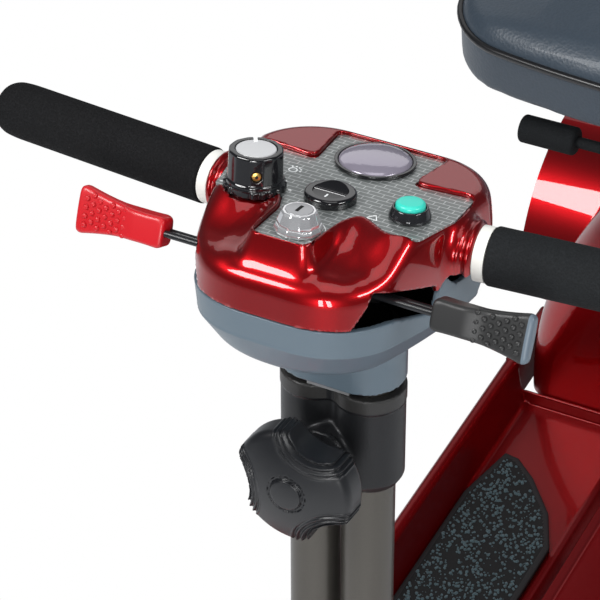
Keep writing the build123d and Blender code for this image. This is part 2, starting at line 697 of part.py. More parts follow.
# ---------------------------------------------------------------- clamp collar and knob
with BuildPart() as column_collar:
    with BuildSketch(at(COLUMN, z=-COLLAR_BOTTOM)):
        SlotCenterToCenter(2 * TUBE_OFFSET, 2 * COLLAR_RADIUS)
    extrude(amount=COLLAR_BOTTOM - COLLAR_TOP)
    down = Axis(COLUMN.origin, COLUMN.z_dir)
    chamfer(column_collar.faces().sort_by(down)[0].edges(), 4)
    with BuildSketch(facing(COLUMN, (0, -1, 0), z=-CLAMP_DEPTH)):
        Circle(CLAMP_BOSS_RADIUS)
    extrude(amount=CLAMP_BOSS_END)
    with BuildSketch(at(COLUMN, z=-COLLAR_BOTTOM - 1)):
        with Locations((TUBE_OFFSET, 0), (-TUBE_OFFSET, 0)):
            Circle(TUBE_RADIUS + RUNNING)
    extrude(amount=COLLAR_BOTTOM - COLLAR_TOP + 2, mode=Mode.SUBTRACT)
    with BuildSketch(facing(COLUMN, (0, -1, 0), z=-CLAMP_DEPTH)):
        Circle(CLAMP_STUD_RADIUS + RUNNING)
    extrude(amount=CLAMP_BOSS_END + 2, mode=Mode.SUBTRACT)
pieces["column_collar"] = column_collar

LOBE_ANGLES = (10, 130, 250)
with BuildPart() as clamp_knob:
    # turned blank: flat back, rounded rim, low cone in front
    with BuildSketch(facing(COLUMN, (0, -1, 0), z=-CLAMP_DEPTH)) as knob_plan:
        Circle(CLAMP_KNOB_RADIUS)
        for angle in LOBE_ANGLES:
            with PolarLocations(CLAMP_KNOB_RADIUS * 1.17, 1, start_angle=angle + 60):
                Circle(CLAMP_KNOB_RADIUS * 0.62, mode=Mode.SUBTRACT)
        fillet(knob_plan.vertices(), 5)
    extrude(amount=CLAMP_KNOB_FRONT)
    with BuildSketch(facing(COLUMN, (1, 0, 0), z=-CLAMP_DEPTH)):
        with BuildLine():
            Polyline((-CLAMP_KNOB_BACK, 0), (-CLAMP_KNOB_BACK, 34), (-CLAMP_KNOB_BACK - 4, 39.5),
                     (-CLAMP_KNOB_BACK - 10, CLAMP_KNOB_RADIUS + 1), (-CLAMP_KNOB_FRONT + 12, CLAMP_KNOB_RADIUS + 1),
                     (-CLAMP_KNOB_FRONT + 3, 16), (-CLAMP_KNOB_FRONT, 12), (-CLAMP_KNOB_FRONT, 0), close=True)
        make_face()
    revolve(axis=Axis(KNOB_AXIS.origin, KNOB_AXIS.z_dir), mode=Mode.INTERSECT)
    with BuildSketch(at(KNOB_AXIS, z=CLAMP_BOSS_END + GAP)):
        Circle(16)
    extrude(amount=CLAMP_KNOB_BACK - CLAMP_BOSS_END)
    with BuildSketch(at(KNOB_AXIS, z=13)):
        Circle(CLAMP_STUD_RADIUS)
    extrude(amount=CLAMP_KNOB_BACK - 10)
pieces["clamp_knob"] = clamp_knob

# ---------------------------------------------------------------- tiller tubes and yoke
with BuildPart() as tiller_tubes:
    with BuildSketch(at(COLUMN, z=-TUBE_BOTTOM)):
        with Locations((TUBE_OFFSET, 0), (-TUBE_OFFSET, 0)):
            Circle(TUBE_RADIUS)
            Circle(TUBE_RADIUS - TUBE_WALL, mode=Mode.SUBTRACT)
    extrude(amount=TUBE_BOTTOM - TUBE_TOP)
pieces["tiller_tubes"] = tiller_tubes

with BuildPart() as tiller_yoke:
    with BuildSketch(facing(COLUMN, (1, 0, 0), x=-YOKE_HALF_WIDTH)):
        with BuildLine():
            Line((-YOKE_HALF_DEPTH, -TILLER_PIVOT), (-YOKE_HALF_DEPTH, -YOKE_TOP))
            Line((-YOKE_HALF_DEPTH, -YOKE_TOP), (YOKE_HALF_DEPTH, -YOKE_TOP))
            Line((YOKE_HALF_DEPTH, -YOKE_TOP), (YOKE_HALF_DEPTH, -TILLER_PIVOT))
            ThreePointArc((YOKE_HALF_DEPTH, -TILLER_PIVOT), (0, -TILLER_PIVOT - YOKE_HALF_DEPTH),
                          (-YOKE_HALF_DEPTH, -TILLER_PIVOT))
        make_face()
    extrude(amount=2 * YOKE_HALF_WIDTH)
    fillet(tiller_yoke.edges().filter_by(Axis(COLUMN.origin, COLUMN.z_dir)), 10)
    with BuildSketch(at(COLUMN, z=-TUBE_BOTTOM - GAP)):
        with Locations((TUBE_OFFSET, 0), (-TUBE_OFFSET, 0)):
            Circle(TUBE_RADIUS + RUNNING)
    extrude(amount=TUBE_BOTTOM - YOKE_TOP + 5, mode=Mode.SUBTRACT)
    with BuildSketch(at(COLUMN, z=-TILLER_PIVOT - 40)):
        Rectangle(2 * (TONGUE_HALF_WIDTH + GAP), 80)
    extrude(amount=TILLER_PIVOT + 40 - SLOT_TOP, mode=Mode.SUBTRACT)
    with BuildSketch(facing(COLUMN, (1, 0, 0), x=-YOKE_HALF_WIDTH - 3, z=-TILLER_PIVOT)):
        Circle(PIVOT_PIN_RADIUS)
    extrude(amount=2 * YOKE_HALF_WIDTH + 6)
pieces["tiller_yoke"] = tiller_yoke

# ---------------------------------------------------------------- steering: stem, beam, knuckles, track rod
with BuildPart() as steering_stem:
    with BuildSketch(facing(COLUMN, (1, 0, 0), x=-TONGUE_HALF_WIDTH)):
        with Locations((0, -TILLER_PIVOT)):
            Circle(22)
        with Locations((0, -(TILLER_PIVOT + STEM_COLLAR_TOP) / 2 - 2)):
            Rectangle(44, STEM_COLLAR_TOP - TILLER_PIVOT + 4)
        with Locations((0, -TILLER_PIVOT)):
            Circle(PIVOT_PIN_RADIUS + RUNNING, mode=Mode.SUBTRACT)
    extrude(amount=2 * TONGUE_HALF_WIDTH)
    with BuildSketch(at(COLUMN, z=-HEAD_TUBE_TOP + GAP)):
        Circle(HEAD_TUBE_RADIUS + 2)
    extrude(amount=HEAD_TUBE_TOP - GAP - STEM_COLLAR_TOP)
    with BuildSketch(at(COLUMN, z=-PITMAN_TOP - PITMAN_THICKNESS)):
        Circle(STEM_RADIUS)
    extrude(amount=PITMAN_TOP + PITMAN_THICKNESS - HEAD_TUBE_TOP + 5)
    with BuildSketch(at(COLUMN, z=-PITMAN_TOP - PITMAN_THICKNESS)) as arm:
        with Locations((0, 0)):
            Circle(20)
        with Locations((0, STEER_ARM)):
            Circle(10)
        with Locations((0, STEER_ARM / 2)):
            Rectangle(20, STEER_ARM)
    extrude(amount=PITMAN_THICKNESS)
    with BuildSketch(at(COLUMN, y=STEER_ARM, z=-TRACK_ROD_DEPTH - 7)):
        Circle(4)
    extrude(amount=TRACK_ROD_DEPTH + 7 - PITMAN_TOP - 5)
pieces["steering_stem"] = steering_stem

LUG_THICKNESS = 12
with BuildPart() as front_axle_beam:
    # I-section forging between the two forked ends
    with BuildSketch(facing(COLUMN, (1, 0, 0), x=-KINGPIN_X + 14)) as section:
        with Locations((0, -(BEAM_TOP + BEAM_BOTTOM) / 2)):
            Rectangle(28, BEAM_BOTTOM - BEAM_TOP - 6)
        with Locations((12, -(BEAM_TOP + BEAM_BOTTOM) / 2), (-12, -(BEAM_TOP + BEAM_BOTTOM) / 2)):
            Rectangle(12, 20, mode=Mode.SUBTRACT)
    extrude(amount=2 * (KINGPIN_X - 14))
    for side in (-1, 1):
        with BuildSketch(at(COLUMN, side * (KINGPIN_X - 3), 0, -BEAM_BOTTOM - LUG_THICKNESS)) as lug:
            with Locations((-side * 8, 0)):
                Rectangle(22, 28)
            with Locations((side * 3, 0)):
                Circle(14)
            with Locations((side * 3, 0)):
                Circle(KINGPIN_RADIUS + RUNNING, mode=Mode.SUBTRACT)
        extrude(amount=LUG_THICKNESS)
        with BuildSketch(at(COLUMN, side * (KINGPIN_X - 3), 0, -BEAM_TOP)) as lug:
            with Locations((-side * 8, 0)):
                Rectangle(22, 28)
            with Locations((side * 3, 0)):
                Circle(14)
            with Locations((side * 3, 0)):
                Circle(KINGPIN_RADIUS + RUNNING, mode=Mode.SUBTRACT)
        extrude(amount=LUG_THICKNESS)
        for top in (BEAM_TOP - LUG_THICKNESS, BEAM_BOTTOM - 8):
            with BuildSketch(at(COLUMN, side * (KINGPIN_X - 19), 0, -top - LUG_THICKNESS - 8)):
                Rectangle(10, 28)
            extrude(amount=LUG_THICKNESS + 8)
pieces["front_axle_beam"] = front_axle_beam


def knuckle(side):
    """Stub axle on its kingpin, with the steering arm that the track rod holds."""
    with BuildPart() as forging:
        with BuildSketch(at(COLUMN, side * KINGPIN_X, 0, -BEAM_BOTTOM + GAP)):
            Circle(KNUCKLE_RADIUS)
        extrude(amount=BEAM_BOTTOM - BEAM_TOP - 2 * GAP)
        with BuildSketch(at(COLUMN, side * KINGPIN_X, 0, -BEAM_BOTTOM - LUG_THICKNESS - 2)):
            Circle(KINGPIN_RADIUS)
        extrude(amount=BEAM_BOTTOM - BEAM_TOP + 2 * LUG_THICKNESS + 4)
        with BuildSketch(facing(COLUMN, (1, 0, 0), x=side * KINGPIN_X, z=-WHEEL_DEPTH)):
            Circle(AXLE_RADIUS)
        extrude(amount=side * (FRONT_WHEEL_X + 30 - KINGPIN_X))
        with BuildSketch(at(COLUMN, side * KINGPIN_X, 0, -TRACK_ROD_DEPTH - 22)):
            with Locations((0, STEER_ARM / 2)):
                Rectangle(13, STEER_ARM)
            with Locations((0, STEER_ARM)):
                Circle(8)
        extrude(amount=12)
        with BuildSketch(at(COLUMN, side * KINGPIN_X, STEER_ARM, -TRACK_ROD_DEPTH - 14)):
            Circle(4)
        extrude(amount=21)
    return forging


pieces["knuckle_left"] = knuckle(1)
pieces["knuckle_right"] = knuckle(-1)

with BuildPart() as track_rod:
    with BuildSketch(facing(COLUMN, (1, 0, 0), x=-KINGPIN_X, y=STEER_ARM, z=-TRACK_ROD_DEPTH)):
        Circle(TRACK_ROD_RADIUS)
    extrude(amount=2 * KINGPIN_X)
    for x in (-KINGPIN_X, 0, KINGPIN_X):
        with BuildSketch(at(COLUMN, x, STEER_ARM, -TRACK_ROD_DEPTH - 6.5)):
            Circle(9)
        extrude(amount=13)
    for x in (-KINGPIN_X, 0, KINGPIN_X):
        with BuildSketch(at(COLUMN, x, STEER_ARM, -TRACK_ROD_DEPTH - 8)):
            Circle(4 + RUNNING)
        extrude(amount=16, mode=Mode.SUBTRACT)
pieces["track_rod"] = track_rod


# ---------------------------------------------------------------- wheels
TREAD_SHOULDER = 96             # radius at which the tyre's side bulges most


def tyre(x, y):
    """Solid tyre: rounded shoulders and two grooves round the tread."""
    half = TYRE_WIDTH / 2
    bead = RIM_RADIUS + GAP
    edge = WHEEL_RADIUS - 4
    with BuildPart() as ring:
        with BuildSketch(Plane(origin=(x, y, WHEEL_RADIUS), x_dir=(1, 0, 0), z_dir=(0, -1, 0))):
            with BuildLine():
                Line((-half + 8, bead), (half - 8, bead))
                ThreePointArc((half - 8, bead), (half, TREAD_SHOULDER), (half - 7, edge))
                ThreePointArc((half - 7, edge), (0, WHEEL_RADIUS), (-half + 7, edge))
                ThreePointArc((-half + 7, edge), (-half, TREAD_SHOULDER), (-half + 8, bead))
            make_face()
            with Locations((-11, WHEEL_RADIUS), (11, WHEEL_RADIUS)):
                Rectangle(4, 8, mode=Mode.SUBTRACT)
        revolve(axis=Axis((x, y, WHEEL_RADIUS), (1, 0, 0)))
    return ring


def rim(x, y, side, bore_depth=30):
    """Five-spoke wheel: barrel, dished web with windows, hub with its bore."""
    half = TYRE_WIDTH / 2 - 6
    with BuildPart() as wheel:
        with BuildSketch(Plane(origin=(x, y, WHEEL_RADIUS), x_dir=(side, 0, 0), z_dir=(0, -side, 0))):
            with BuildLine():
                Polyline((-half, RIM_RADIUS), (half, RIM_RADIUS), (half, RIM_RADIUS - 7),
                         (12, RIM_RADIUS - 12), (6, 30), (14, 24), (14, 0), (-22, 0), (-22, 22),
                         (-4, 26), (-2, RIM_RADIUS - 14),
                         (-half, RIM_RADIUS - 7), close=True)
            make_face()
        revolve(axis=Axis((x, y, WHEEL_RADIUS), (1, 0, 0)))
        inboard = Plane(origin=(x - side * 30, y, WHEEL_RADIUS), x_dir=(0, 1, 0), z_dir=(side, 0, 0))
        with BuildSketch(inboard):
            with PolarLocations(45, 5):
                SlotArc(CenterArc((-45, 0), 46, -21, 42), 16)
        extrude(amount=60, mode=Mode.SUBTRACT)
        with BuildSketch(inboard):
            Circle(AXLE_RADIUS + RUNNING)
        extrude(amount=60, mode=Mode.SUBTRACT)
    return wheel


pieces["front_tyre_left"] = tyre(FRONT_WHEEL_X, FRONT_AXLE_Y)
pieces["front_tyre_right"] = tyre(-FRONT_WHEEL_X, FRONT_AXLE_Y)
pieces["rear_tyre_left"] = tyre(REAR_WHEEL_X, REAR_AXLE_Y)
pieces["rear_tyre_right"] = tyre(-REAR_WHEEL_X, REAR_AXLE_Y)
pieces["front_rim_left"] = rim(FRONT_WHEEL_X, FRONT_AXLE_Y, 1)
pieces["front_rim_right"] = rim(-FRONT_WHEEL_X, FRONT_AXLE_Y, -1)


def axle_plane(side, x):
    """A plane across the rear axle at a distance from the middle, facing outward."""
    return Plane(origin=(side * x, REAR_AXLE_Y, WHEEL_RADIUS), x_dir=(0, 1, 0), z_dir=(side, 0, 0))


def driven_rim(side):
    """Rear wheel, made in one with the stub of shaft that runs in the transaxle."""
    wheel = rim(side * REAR_WHEEL_X, REAR_AXLE_Y, side)
    with BuildPart() as joined:
        add(wheel.part)
        with BuildSketch(axle_plane(side, SHAFT_END)):
            Circle(AXLE_RADIUS)
        extrude(amount=REAR_WHEEL_X + 14 - SHAFT_END)
        with BuildSketch(axle_plane(side, REAR_WHEEL_X - 20)):
            Circle(AXLE_RADIUS + 1)
        extrude(amount=30)
    return joined


SHAFT_END = 70
pieces["rear_rim_left"] = driven_rim(1)
pieces["rear_rim_right"] = driven_rim(-1)

# ---------------------------------------------------------------- chassis
TRAY_TOP = 99.5
COWL_SEAT = 157.7
SHELF_TOP = 209.7
AXLE_TUBE_RADIUS = 21
ANTI_TIP_Y = 640
ANTI_TIP_Z = 42
ANTI_TIP_RADIUS = 25
SOCKET_TOP = 180
GOOSENECK_BOTTOM = 170
GOOSENECK_TOP = 214
FRAME_JOIN = 190
SPIGOT_LENGTH = 40
FRONT_CROSS_YS = (-440, -100)
REAR_CROSS_YS = (215, 560)
REST_YS = (-380, -100, 160)
TRAY_YS = (232, 290)
MOUNT_Y = 575
MOUNT_Z = 75
MOUNT_PITCH_X = 100
MOUNT_HOLE_RADIUS = 4.25
RAIL_MIDDLE = (RAIL_BOTTOM + RAIL_TOP) / 2


def rails(rear):
    """Sketch for both box rails, to be extruded forward from the rear distance."""
    with BuildSketch(Plane.XZ.offset(-rear)) as section:
        with Locations((RAIL_X, RAIL_MIDDLE), (-RAIL_X, RAIL_MIDDLE)):
            Rectangle(2 * RAIL_HALF_WIDTH, RAIL_TOP - RAIL_BOTTOM)
            Rectangle(2 * RAIL_HALF_WIDTH - 5, RAIL_TOP - RAIL_BOTTOM - 5, mode=Mode.SUBTRACT)
    return section.sketch


with BuildPart() as front_frame:
    extrude(rails(FRAME_JOIN), amount=FRAME_JOIN - RAIL_FRONT)
    for y in FRONT_CROSS_YS:
        with Locations((0, y, RAIL_MIDDLE)):
            Box(2 * RAIL_X + 10, 30, RAIL_TOP - RAIL_BOTTOM - 6)
    # rests for the deck tub, outboard of the rails
    for y in REST_YS:
        for side in (-1, 1):
            with Locations((side * 129.25, y, FLOOR_HEIGHT - DECK_WALL - 4.2)):
                Box(71.5, 34, 8)
            with Locations((side * 98, y, RAIL_TOP - 10)):
                Box(8, 34, 20)
    # gooseneck: up from the rails and forward to the head tube
    with BuildSketch(Plane.YZ.offset(-25)):
        with BuildLine():
            Polyline((-470, RAIL_BOTTOM + 5), (-430, RAIL_BOTTOM + 5), (-430, GOOSENECK_TOP - 30),
                     (-460, GOOSENECK_TOP), (-575, GOOSENECK_TOP), (-575, GOOSENECK_BOTTOM),
                     (-480, GOOSENECK_BOTTOM), (-470, GOOSENECK_BOTTOM - 10), close=True)
        make_face()
    extrude(amount=50)
    with BuildSketch(at(COLUMN, z=-HEAD_TUBE_BOTTOM)):
        Circle(HEAD_TUBE_RADIUS + 6)
    extrude(amount=HEAD_TUBE_BOTTOM - HEAD_TUBE_TOP)
    with BuildSketch(at(COLUMN, z=-HEAD_TUBE_BOTTOM - 30)):
        Circle(STEM_RADIUS + RUNNING)
    extrude(amount=HEAD_TUBE_BOTTOM - HEAD_TUBE_TOP + 60, mode=Mode.SUBTRACT)
    # arms and pillars that the rim of the cowl stands on
    with Locations((0, -448, COWL_SEAT - 4)):
        Box(232, 16, 8)
    for side in (-1, 1):
        with Locations((side * RAIL_X, -640, (RAIL_TOP + COWL_SEAT) / 2 - 4)):
            Box(12, 14, COWL_SEAT - RAIL_TOP)
        with Locations((side * 93, -640, COWL_SEAT - 4)):
            Box(38, 14, 8)
    # saddles on the rails that hold the front axle beam
    for side in (-1, 1):
        with Locations((side * RAIL_X, FRONT_AXLE_Y, 100)):
            Box(2 * RAIL_HALF_WIDTH, 60, 44)
    with BuildSketch(facing(COLUMN, (1, 0, 0), x=-KINGPIN_X)):
        with Locations((0, -WHEEL_DEPTH)):
            Rectangle(28.4, 2 * BEAM_HALF_HEIGHT - 5.6)
    extrude(amount=2 * KINGPIN_X, mode=Mode.SUBTRACT)
pieces["front_frame"] = front_frame

with BuildPart() as rear_frame:
    extrude(rails(RAIL_REAR), amount=RAIL_REAR - FRAME_JOIN)
    # spigots that slide into the open ends of the front rails
    for side in (-1, 1):
        with Locations((side * RAIL_X, FRAME_JOIN - SPIGOT_LENGTH / 2 + 10, RAIL_MIDDLE)):
            Box(2 * RAIL_HALF_WIDTH - 5.4, SPIGOT_LENGTH + 20, RAIL_TOP - RAIL_BOTTOM - 5.4)
    for y in REAR_CROSS_YS:
        with Locations((0, y, RAIL_MIDDLE)):
            Box(2 * RAIL_X + 10, 30, RAIL_TOP - RAIL_BOTTOM - 6)
    # socket of the seat post
    with BuildSketch(Plane.XY.offset(RAIL_TOP)):
        with Locations((0, POST_Y)):
            Circle(38)
    extrude(amount=SOCKET_TOP - RAIL_TOP)
    with Locations((0, POST_Y, RAIL_TOP - 8)):
        Box(2 * RAIL_X, 70, 16)
    with BuildSketch(Plane.XY.offset(RAIL_TOP)):
        with Locations((0, POST_Y)):
            Circle(POST_RADIUS + RUNNING)
    extrude(amount=SOCKET_TOP - RAIL_TOP + 2, mode=Mode.SUBTRACT)
    # bearers of the transaxle and of the battery tray
    for side in (-1, 1):
        with Locations((side * RAIL_X, REAR_AXLE_Y, 93)):
            Box(2 * RAIL_HALF_WIDTH, 44, 10)
    with BuildSketch(Plane.YZ.offset(-RAIL_X - 20)):
        with Locations((REAR_AXLE_Y, WHEEL_RADIUS)):
            Circle(AXLE_TUBE_RADIUS + GAP)
    extrude(amount=2 * RAIL_X + 40, mode=Mode.SUBTRACT)
    for y in TRAY_YS:
        with Locations((0, y, TRAY_TOP - 3)):
            Box(330, 24, 6)
        for side in (-1, 1):
            with Locations((side * 88, y, 90)):
                Box(14, 24, 10)
    # upright and shelf of the controller
    with Locations((-RAIL_X, 562, (RAIL_BOTTOM + SHELF_TOP) / 2 + 3)):
        Box(22, 8, SHELF_TOP - RAIL_BOTTOM - 6)
    with Locations((-70, 520, SHELF_TOP - 3)):
        Box(110, 92, 6)
    # tail: arms of the anti-tip wheels and the plate with the accessory holes
    for side in (-1, 1):
        with BuildSketch(Plane.YZ.offset(side * RAIL_X - 5)):
            with BuildLine():
                Polyline((540, RAIL_BOTTOM), (ANTI_TIP_Y, ANTI_TIP_Z - 9), (ANTI_TIP_Y + 9, ANTI_TIP_Z),
                         (ANTI_TIP_Y, ANTI_TIP_Z + 9), (600, RAIL_BOTTOM + 25), (540, RAIL_TOP), close=True)
            make_face()
        extrude(amount=10)
    with Locations((0, MOUNT_Y - 4, MOUNT_Z)):
        Box(2 * RAIL_X - 10, 8, 34)
    with BuildSketch(Plane.YZ.offset(-120)):
        with Locations((ANTI_TIP_Y, ANTI_TIP_Z)):
            Circle(5)
    extrude(amount=240)
    with BuildSketch(Plane.XZ.offset(-MOUNT_Y - 1)):
        with Locations((-MOUNT_PITCH_X / 2, MOUNT_Z), (MOUNT_PITCH_X / 2, MOUNT_Z)):
            Circle(MOUNT_HOLE_RADIUS)
    extrude(amount=36, mode=Mode.SUBTRACT)
pieces["rear_frame"] = rear_frame

with BuildPart() as anti_tip_wheels:
    for side in (-1, 1):
        with BuildSketch(Plane.YZ.offset(side * 103 - 11)):
            with Locations((ANTI_TIP_Y, ANTI_TIP_Z)):
                Circle(ANTI_TIP_RADIUS)
                Circle(5 + RUNNING, mode=Mode.SUBTRACT)
        extrude(amount=22)
    fillet(anti_tip_wheels.edges().filter_by(GeomType.CIRCLE).group_by(SortBy.RADIUS)[-1], 4)
pieces["anti_tip_wheels"] = anti_tip_wheels

# ---------------------------------------------------------------- deck, mats, bumper, cowl, headlight
WALL_OUT = DECK_HALF_WIDTH
DECK_END = 199.5
TUNNEL_TOP_X = 58
TUNNEL_FOOT_X = 90
LIP_INNER_X = 211
FLOOR_EDGE_X = 203
BULKHEAD_BOTTOM = 95
LIP_END = 285
MAT_FRONT = DECK_FRONT + 50


def deck_profile(inset):
    """Half cross-section points of the tub's upper skin, lowered by the wall for the inner skin."""
    top = LIP_HEIGHT - inset
    floor = FLOOR_HEIGHT - inset
    return [(0, TUNNEL_HEIGHT + 4 - inset), (TUNNEL_TOP_X, TUNNEL_HEIGHT - inset),
            (TUNNEL_FOOT_X - inset, floor),
            (FLOOR_EDGE_X + inset * 0.6, floor), (LIP_INNER_X + inset * 0.6, top), (WALL_OUT - inset, top)]


with BuildPart() as deck_tub:
    with BuildSketch(Plane.XZ.offset(-DECK_END)):
        with BuildLine():
            Polyline(*deck_profile(0), (WALL_OUT, 78), (WALL_OUT - DECK_WALL, 78),
                     *reversed(deck_profile(DECK_WALL)[:-1]), close=False)
            Line((0, TUNNEL_HEIGHT), (0, TUNNEL_HEIGHT + 4))
        make_face()
        mirror(about=Plane.YZ)
    extrude(amount=DECK_END - DECK_FRONT)
    # front bulkhead, from the floor up to the lips
    with BuildSketch(Plane.XZ.offset(-DECK_FRONT)):
        with Locations((0, (BULKHEAD_BOTTOM + LIP_HEIGHT) / 2)):
            Rectangle(2 * WALL_OUT, LIP_HEIGHT - BULKHEAD_BOTTOM)
    extrude(amount=DECK_WALL)
    # the lips run on beside the pedestal, as far as the wheel arches
    for side in (-1, 1):
        with Locations((side * (WALL_OUT - 7), (DECK_END + LIP_END) / 2 - 2, LIP_HEIGHT)):
            Box(14, LIP_END - DECK_END + 4, LIP_HEIGHT - FLOOR_HEIGHT,
                align=(Align.CENTER, Align.CENTER, Align.MAX))
    # wedges that raise the floor's rear outer corners
    for side in (-1, 1):
        with BuildSketch(Plane.XY.offset(FLOOR_HEIGHT - 1)):
            with BuildLine():
                Polyline((side * 206, 30), (side * 206, DECK_END), (side * 88, DECK_END), (side * 88, 24),
                         (side * 94, 26), (side * 114, 66), (side * 146, 102), (side * 172, 121),
                         (side * 190, 124), (side * 203, 58), close=True)
            make_face()
        extrude(amount=9)
    # the front upper corners are cut back, to clear the steered wheels
    with BuildSketch(Plane.YZ.offset(-300)):
        with BuildLine():
            Polyline((DECK_FRONT - 8, LIP_HEIGHT + 2), (DECK_FRONT - 8, 120), (MAT_FRONT, LIP_HEIGHT + 2),
                     close=True)
        make_face()
    extrude(amount=600, mode=Mode.SUBTRACT)
pieces["deck_tub"] = deck_tub

with BuildPart() as floor_mats:
    for side in (-1, 1):
        with BuildSketch(Plane.XY.offset(FLOOR_HEIGHT + GAP)) as mat:
            with BuildLine():
                Polyline((side * 201, MAT_FRONT), (side * 201, 55), (side * 187, 119), (side * 172, 117),
                         (side * 148, 98), (side * 116, 62), (side * 96, 20), (side * 96, MAT_FRONT),
                         close=True)
            make_face()
            fillet(mat.vertices(), 4)
        extrude(amount=MAT_THICKNESS - GAP)
pieces["floor_mats"] = floor_mats

BUMPER_HALF = 112
BUMPER_FRONT = -704.1
with BuildPart() as front_bumper:
    with BuildSketch(Plane.XY.offset(68)) as bar:
        with BuildLine():
            ThreePointArc((-BUMPER_HALF, -676), (0, BUMPER_FRONT), (BUMPER_HALF, -676))
            Polyline((BUMPER_HALF, -676), (BUMPER_HALF, RAIL_FRONT - GAP), (-BUMPER_HALF, RAIL_FRONT - GAP),
                     (-BUMPER_HALF, -676))
        make_face()
    extrude(amount=46)
    fillet(front_bumper.edges().group_by(Axis.Z)[-1].sort_by(Axis.Y)[0:1], 8)
    fillet(front_bumper.edges().group_by(Axis.Z)[0].sort_by(Axis.Y)[0:1], 8)
pieces["front_bumper"] = front_bumper

COWL_FOOT = 158
COWL_TOP = 258
LAMP_Z = 198
LAMP_RADIUS = 24
WING_INNER = 150
WING_OUTER = 154


def rounded_section(z, half_width, front, rear, radius):
    """One level of a lofted cover: a rounded rectangle between two distances along the scooter."""
    with BuildSketch(Plane.XY.offset(z)) as plan:
        with Locations((0, (front + rear) / 2)):
            RectangleRounded(2 * half_width, rear - front, radius)
    return plan.sketch


with BuildPart() as front_cowl:
    loft(sections=[rounded_section(COWL_FOOT, 116, -668, -400, 50),
                   rounded_section(208, 100, -656, -408, 48),
                   rounded_section(COWL_TOP, 66, -622, -440, 44)])
    fillet(front_cowl.faces().sort_by(Axis.Z)[-1].edges(), 10)
    for side in (-1, 1):
        with BuildSketch(Plane.YZ.offset(side * 62)):
            with BuildLine():
                a = CenterArc((FRONT_AXLE_Y, WHEEL_RADIUS), WING_OUTER, 24, 114)
                b = CenterArc((FRONT_AXLE_Y, WHEEL_RADIUS), WING_INNER, 24, 114)
                Line(a @ 0, b @ 0)
                Line(a @ 1, b @ 1)
            make_face()
        extrude(amount=side * 213)
    loft(sections=[rounded_section(COWL_FOOT - 1, 112, -664, -396, 47),
                   rounded_section(207, 96, -652, -404, 45),
                   rounded_section(COWL_TOP - 4, 62, -618, -444, 41)], mode=Mode.SUBTRACT)
    with BuildSketch(at(COLUMN, z=-HEAD_TUBE_TOP)):
        Circle(HEAD_TUBE_RADIUS + 8.5)
    extrude(amount=60, mode=Mode.SUBTRACT)
    with Locations((0, -662, LAMP_Z)):
        Cylinder(LAMP_RADIUS, 60, rotation=(90, 0, 0), mode=Mode.SUBTRACT)
pieces["front_cowl"] = front_cowl

with BuildPart() as headlight:
    with Locations((0, -648, LAMP_Z)):
        Cylinder(LAMP_RADIUS - GAP, 30, rotation=(90, 0, 0))
    with Locations((0, -664, LAMP_Z)):
        Sphere(30)
    with BuildSketch(Plane.XZ.offset(640)):
        with Locations((0, LAMP_Z)):
            Circle(LAMP_RADIUS - GAP)
    extrude(amount=60, mode=Mode.INTERSECT)
pieces["headlight"] = headlight

# ---------------------------------------------------------------- rear shroud, batteries, drive, seat post
SHROUD_FRONT = 200
SHROUD_REAR = 640
FENDER_INNER = 140
FENDER_OUTER = 147
SHROUD_WALL = 4
FREEWHEEL_PIVOT = (62, 520, 205)
FREEWHEEL_REACH = 144


with BuildPart() as rear_shroud:
    loft(sections=[rounded_section(110, 203, SHROUD_FRONT, SHROUD_REAR, 24),
                   rounded_section(210, 194, SHROUD_FRONT + 4, SHROUD_REAR - 6, 34),
                   rounded_section(325, 142, SHROUD_FRONT + 14, SHROUD_REAR - 60, 50)])
    fillet(rear_shroud.faces().sort_by(Axis.Z)[-1].edges(), 14)
    loft(sections=[rounded_section(109, 203 - SHROUD_WALL, SHROUD_FRONT + SHROUD_WALL,
                                  SHROUD_REAR - SHROUD_WALL, 20),
                   rounded_section(209, 190, SHROUD_FRONT + 8, SHROUD_REAR - 10, 30),
                   rounded_section(320, 137, SHROUD_FRONT + 19, SHROUD_REAR - 65, 46)], mode=Mode.SUBTRACT)
    for side in (-1, 1):
        with BuildSketch(Plane.YZ.offset(side * 172)):
            with Locations((REAR_AXLE_Y, WHEEL_RADIUS)):
                Circle(FENDER_OUTER)
                with Locations((0, -90)):
                    Rectangle(400, 190, mode=Mode.SUBTRACT)
        extrude(amount=side * 97)
    for side in (-1, 1):
        with BuildSketch(Plane.YZ.offset(side * 178)):
            with Locations((REAR_AXLE_Y, WHEEL_RADIUS)):
                Circle(FENDER_INNER)
        extrude(amount=side * 120, mode=Mode.SUBTRACT)
    with BuildSketch(Plane.YZ.offset(-190)):
        with Locations((REAR_AXLE_Y, WHEEL_RADIUS)):
            Circle(24)
    extrude(amount=380, mode=Mode.SUBTRACT)
    with Locations((0, POST_Y, 300)):
        Cylinder(POST_RADIUS + 2, 100, mode=Mode.SUBTRACT)
    # window of the freewheel lever
    with Locations((FREEWHEEL_PIVOT[0], SHROUD_REAR, 228)):
        Box(21, 100, 68, mode=Mode.SUBTRACT)
pieces["rear_shroud"] = rear_shroud

BATTERY_X = 82
BATTERY_Y = 262
BATTERY_HEIGHT = 150
MOTOR_X = 20
CONTROLLER_X = -70
CONTROLLER_Y = 520
CONTROLLER_HEIGHT = 44

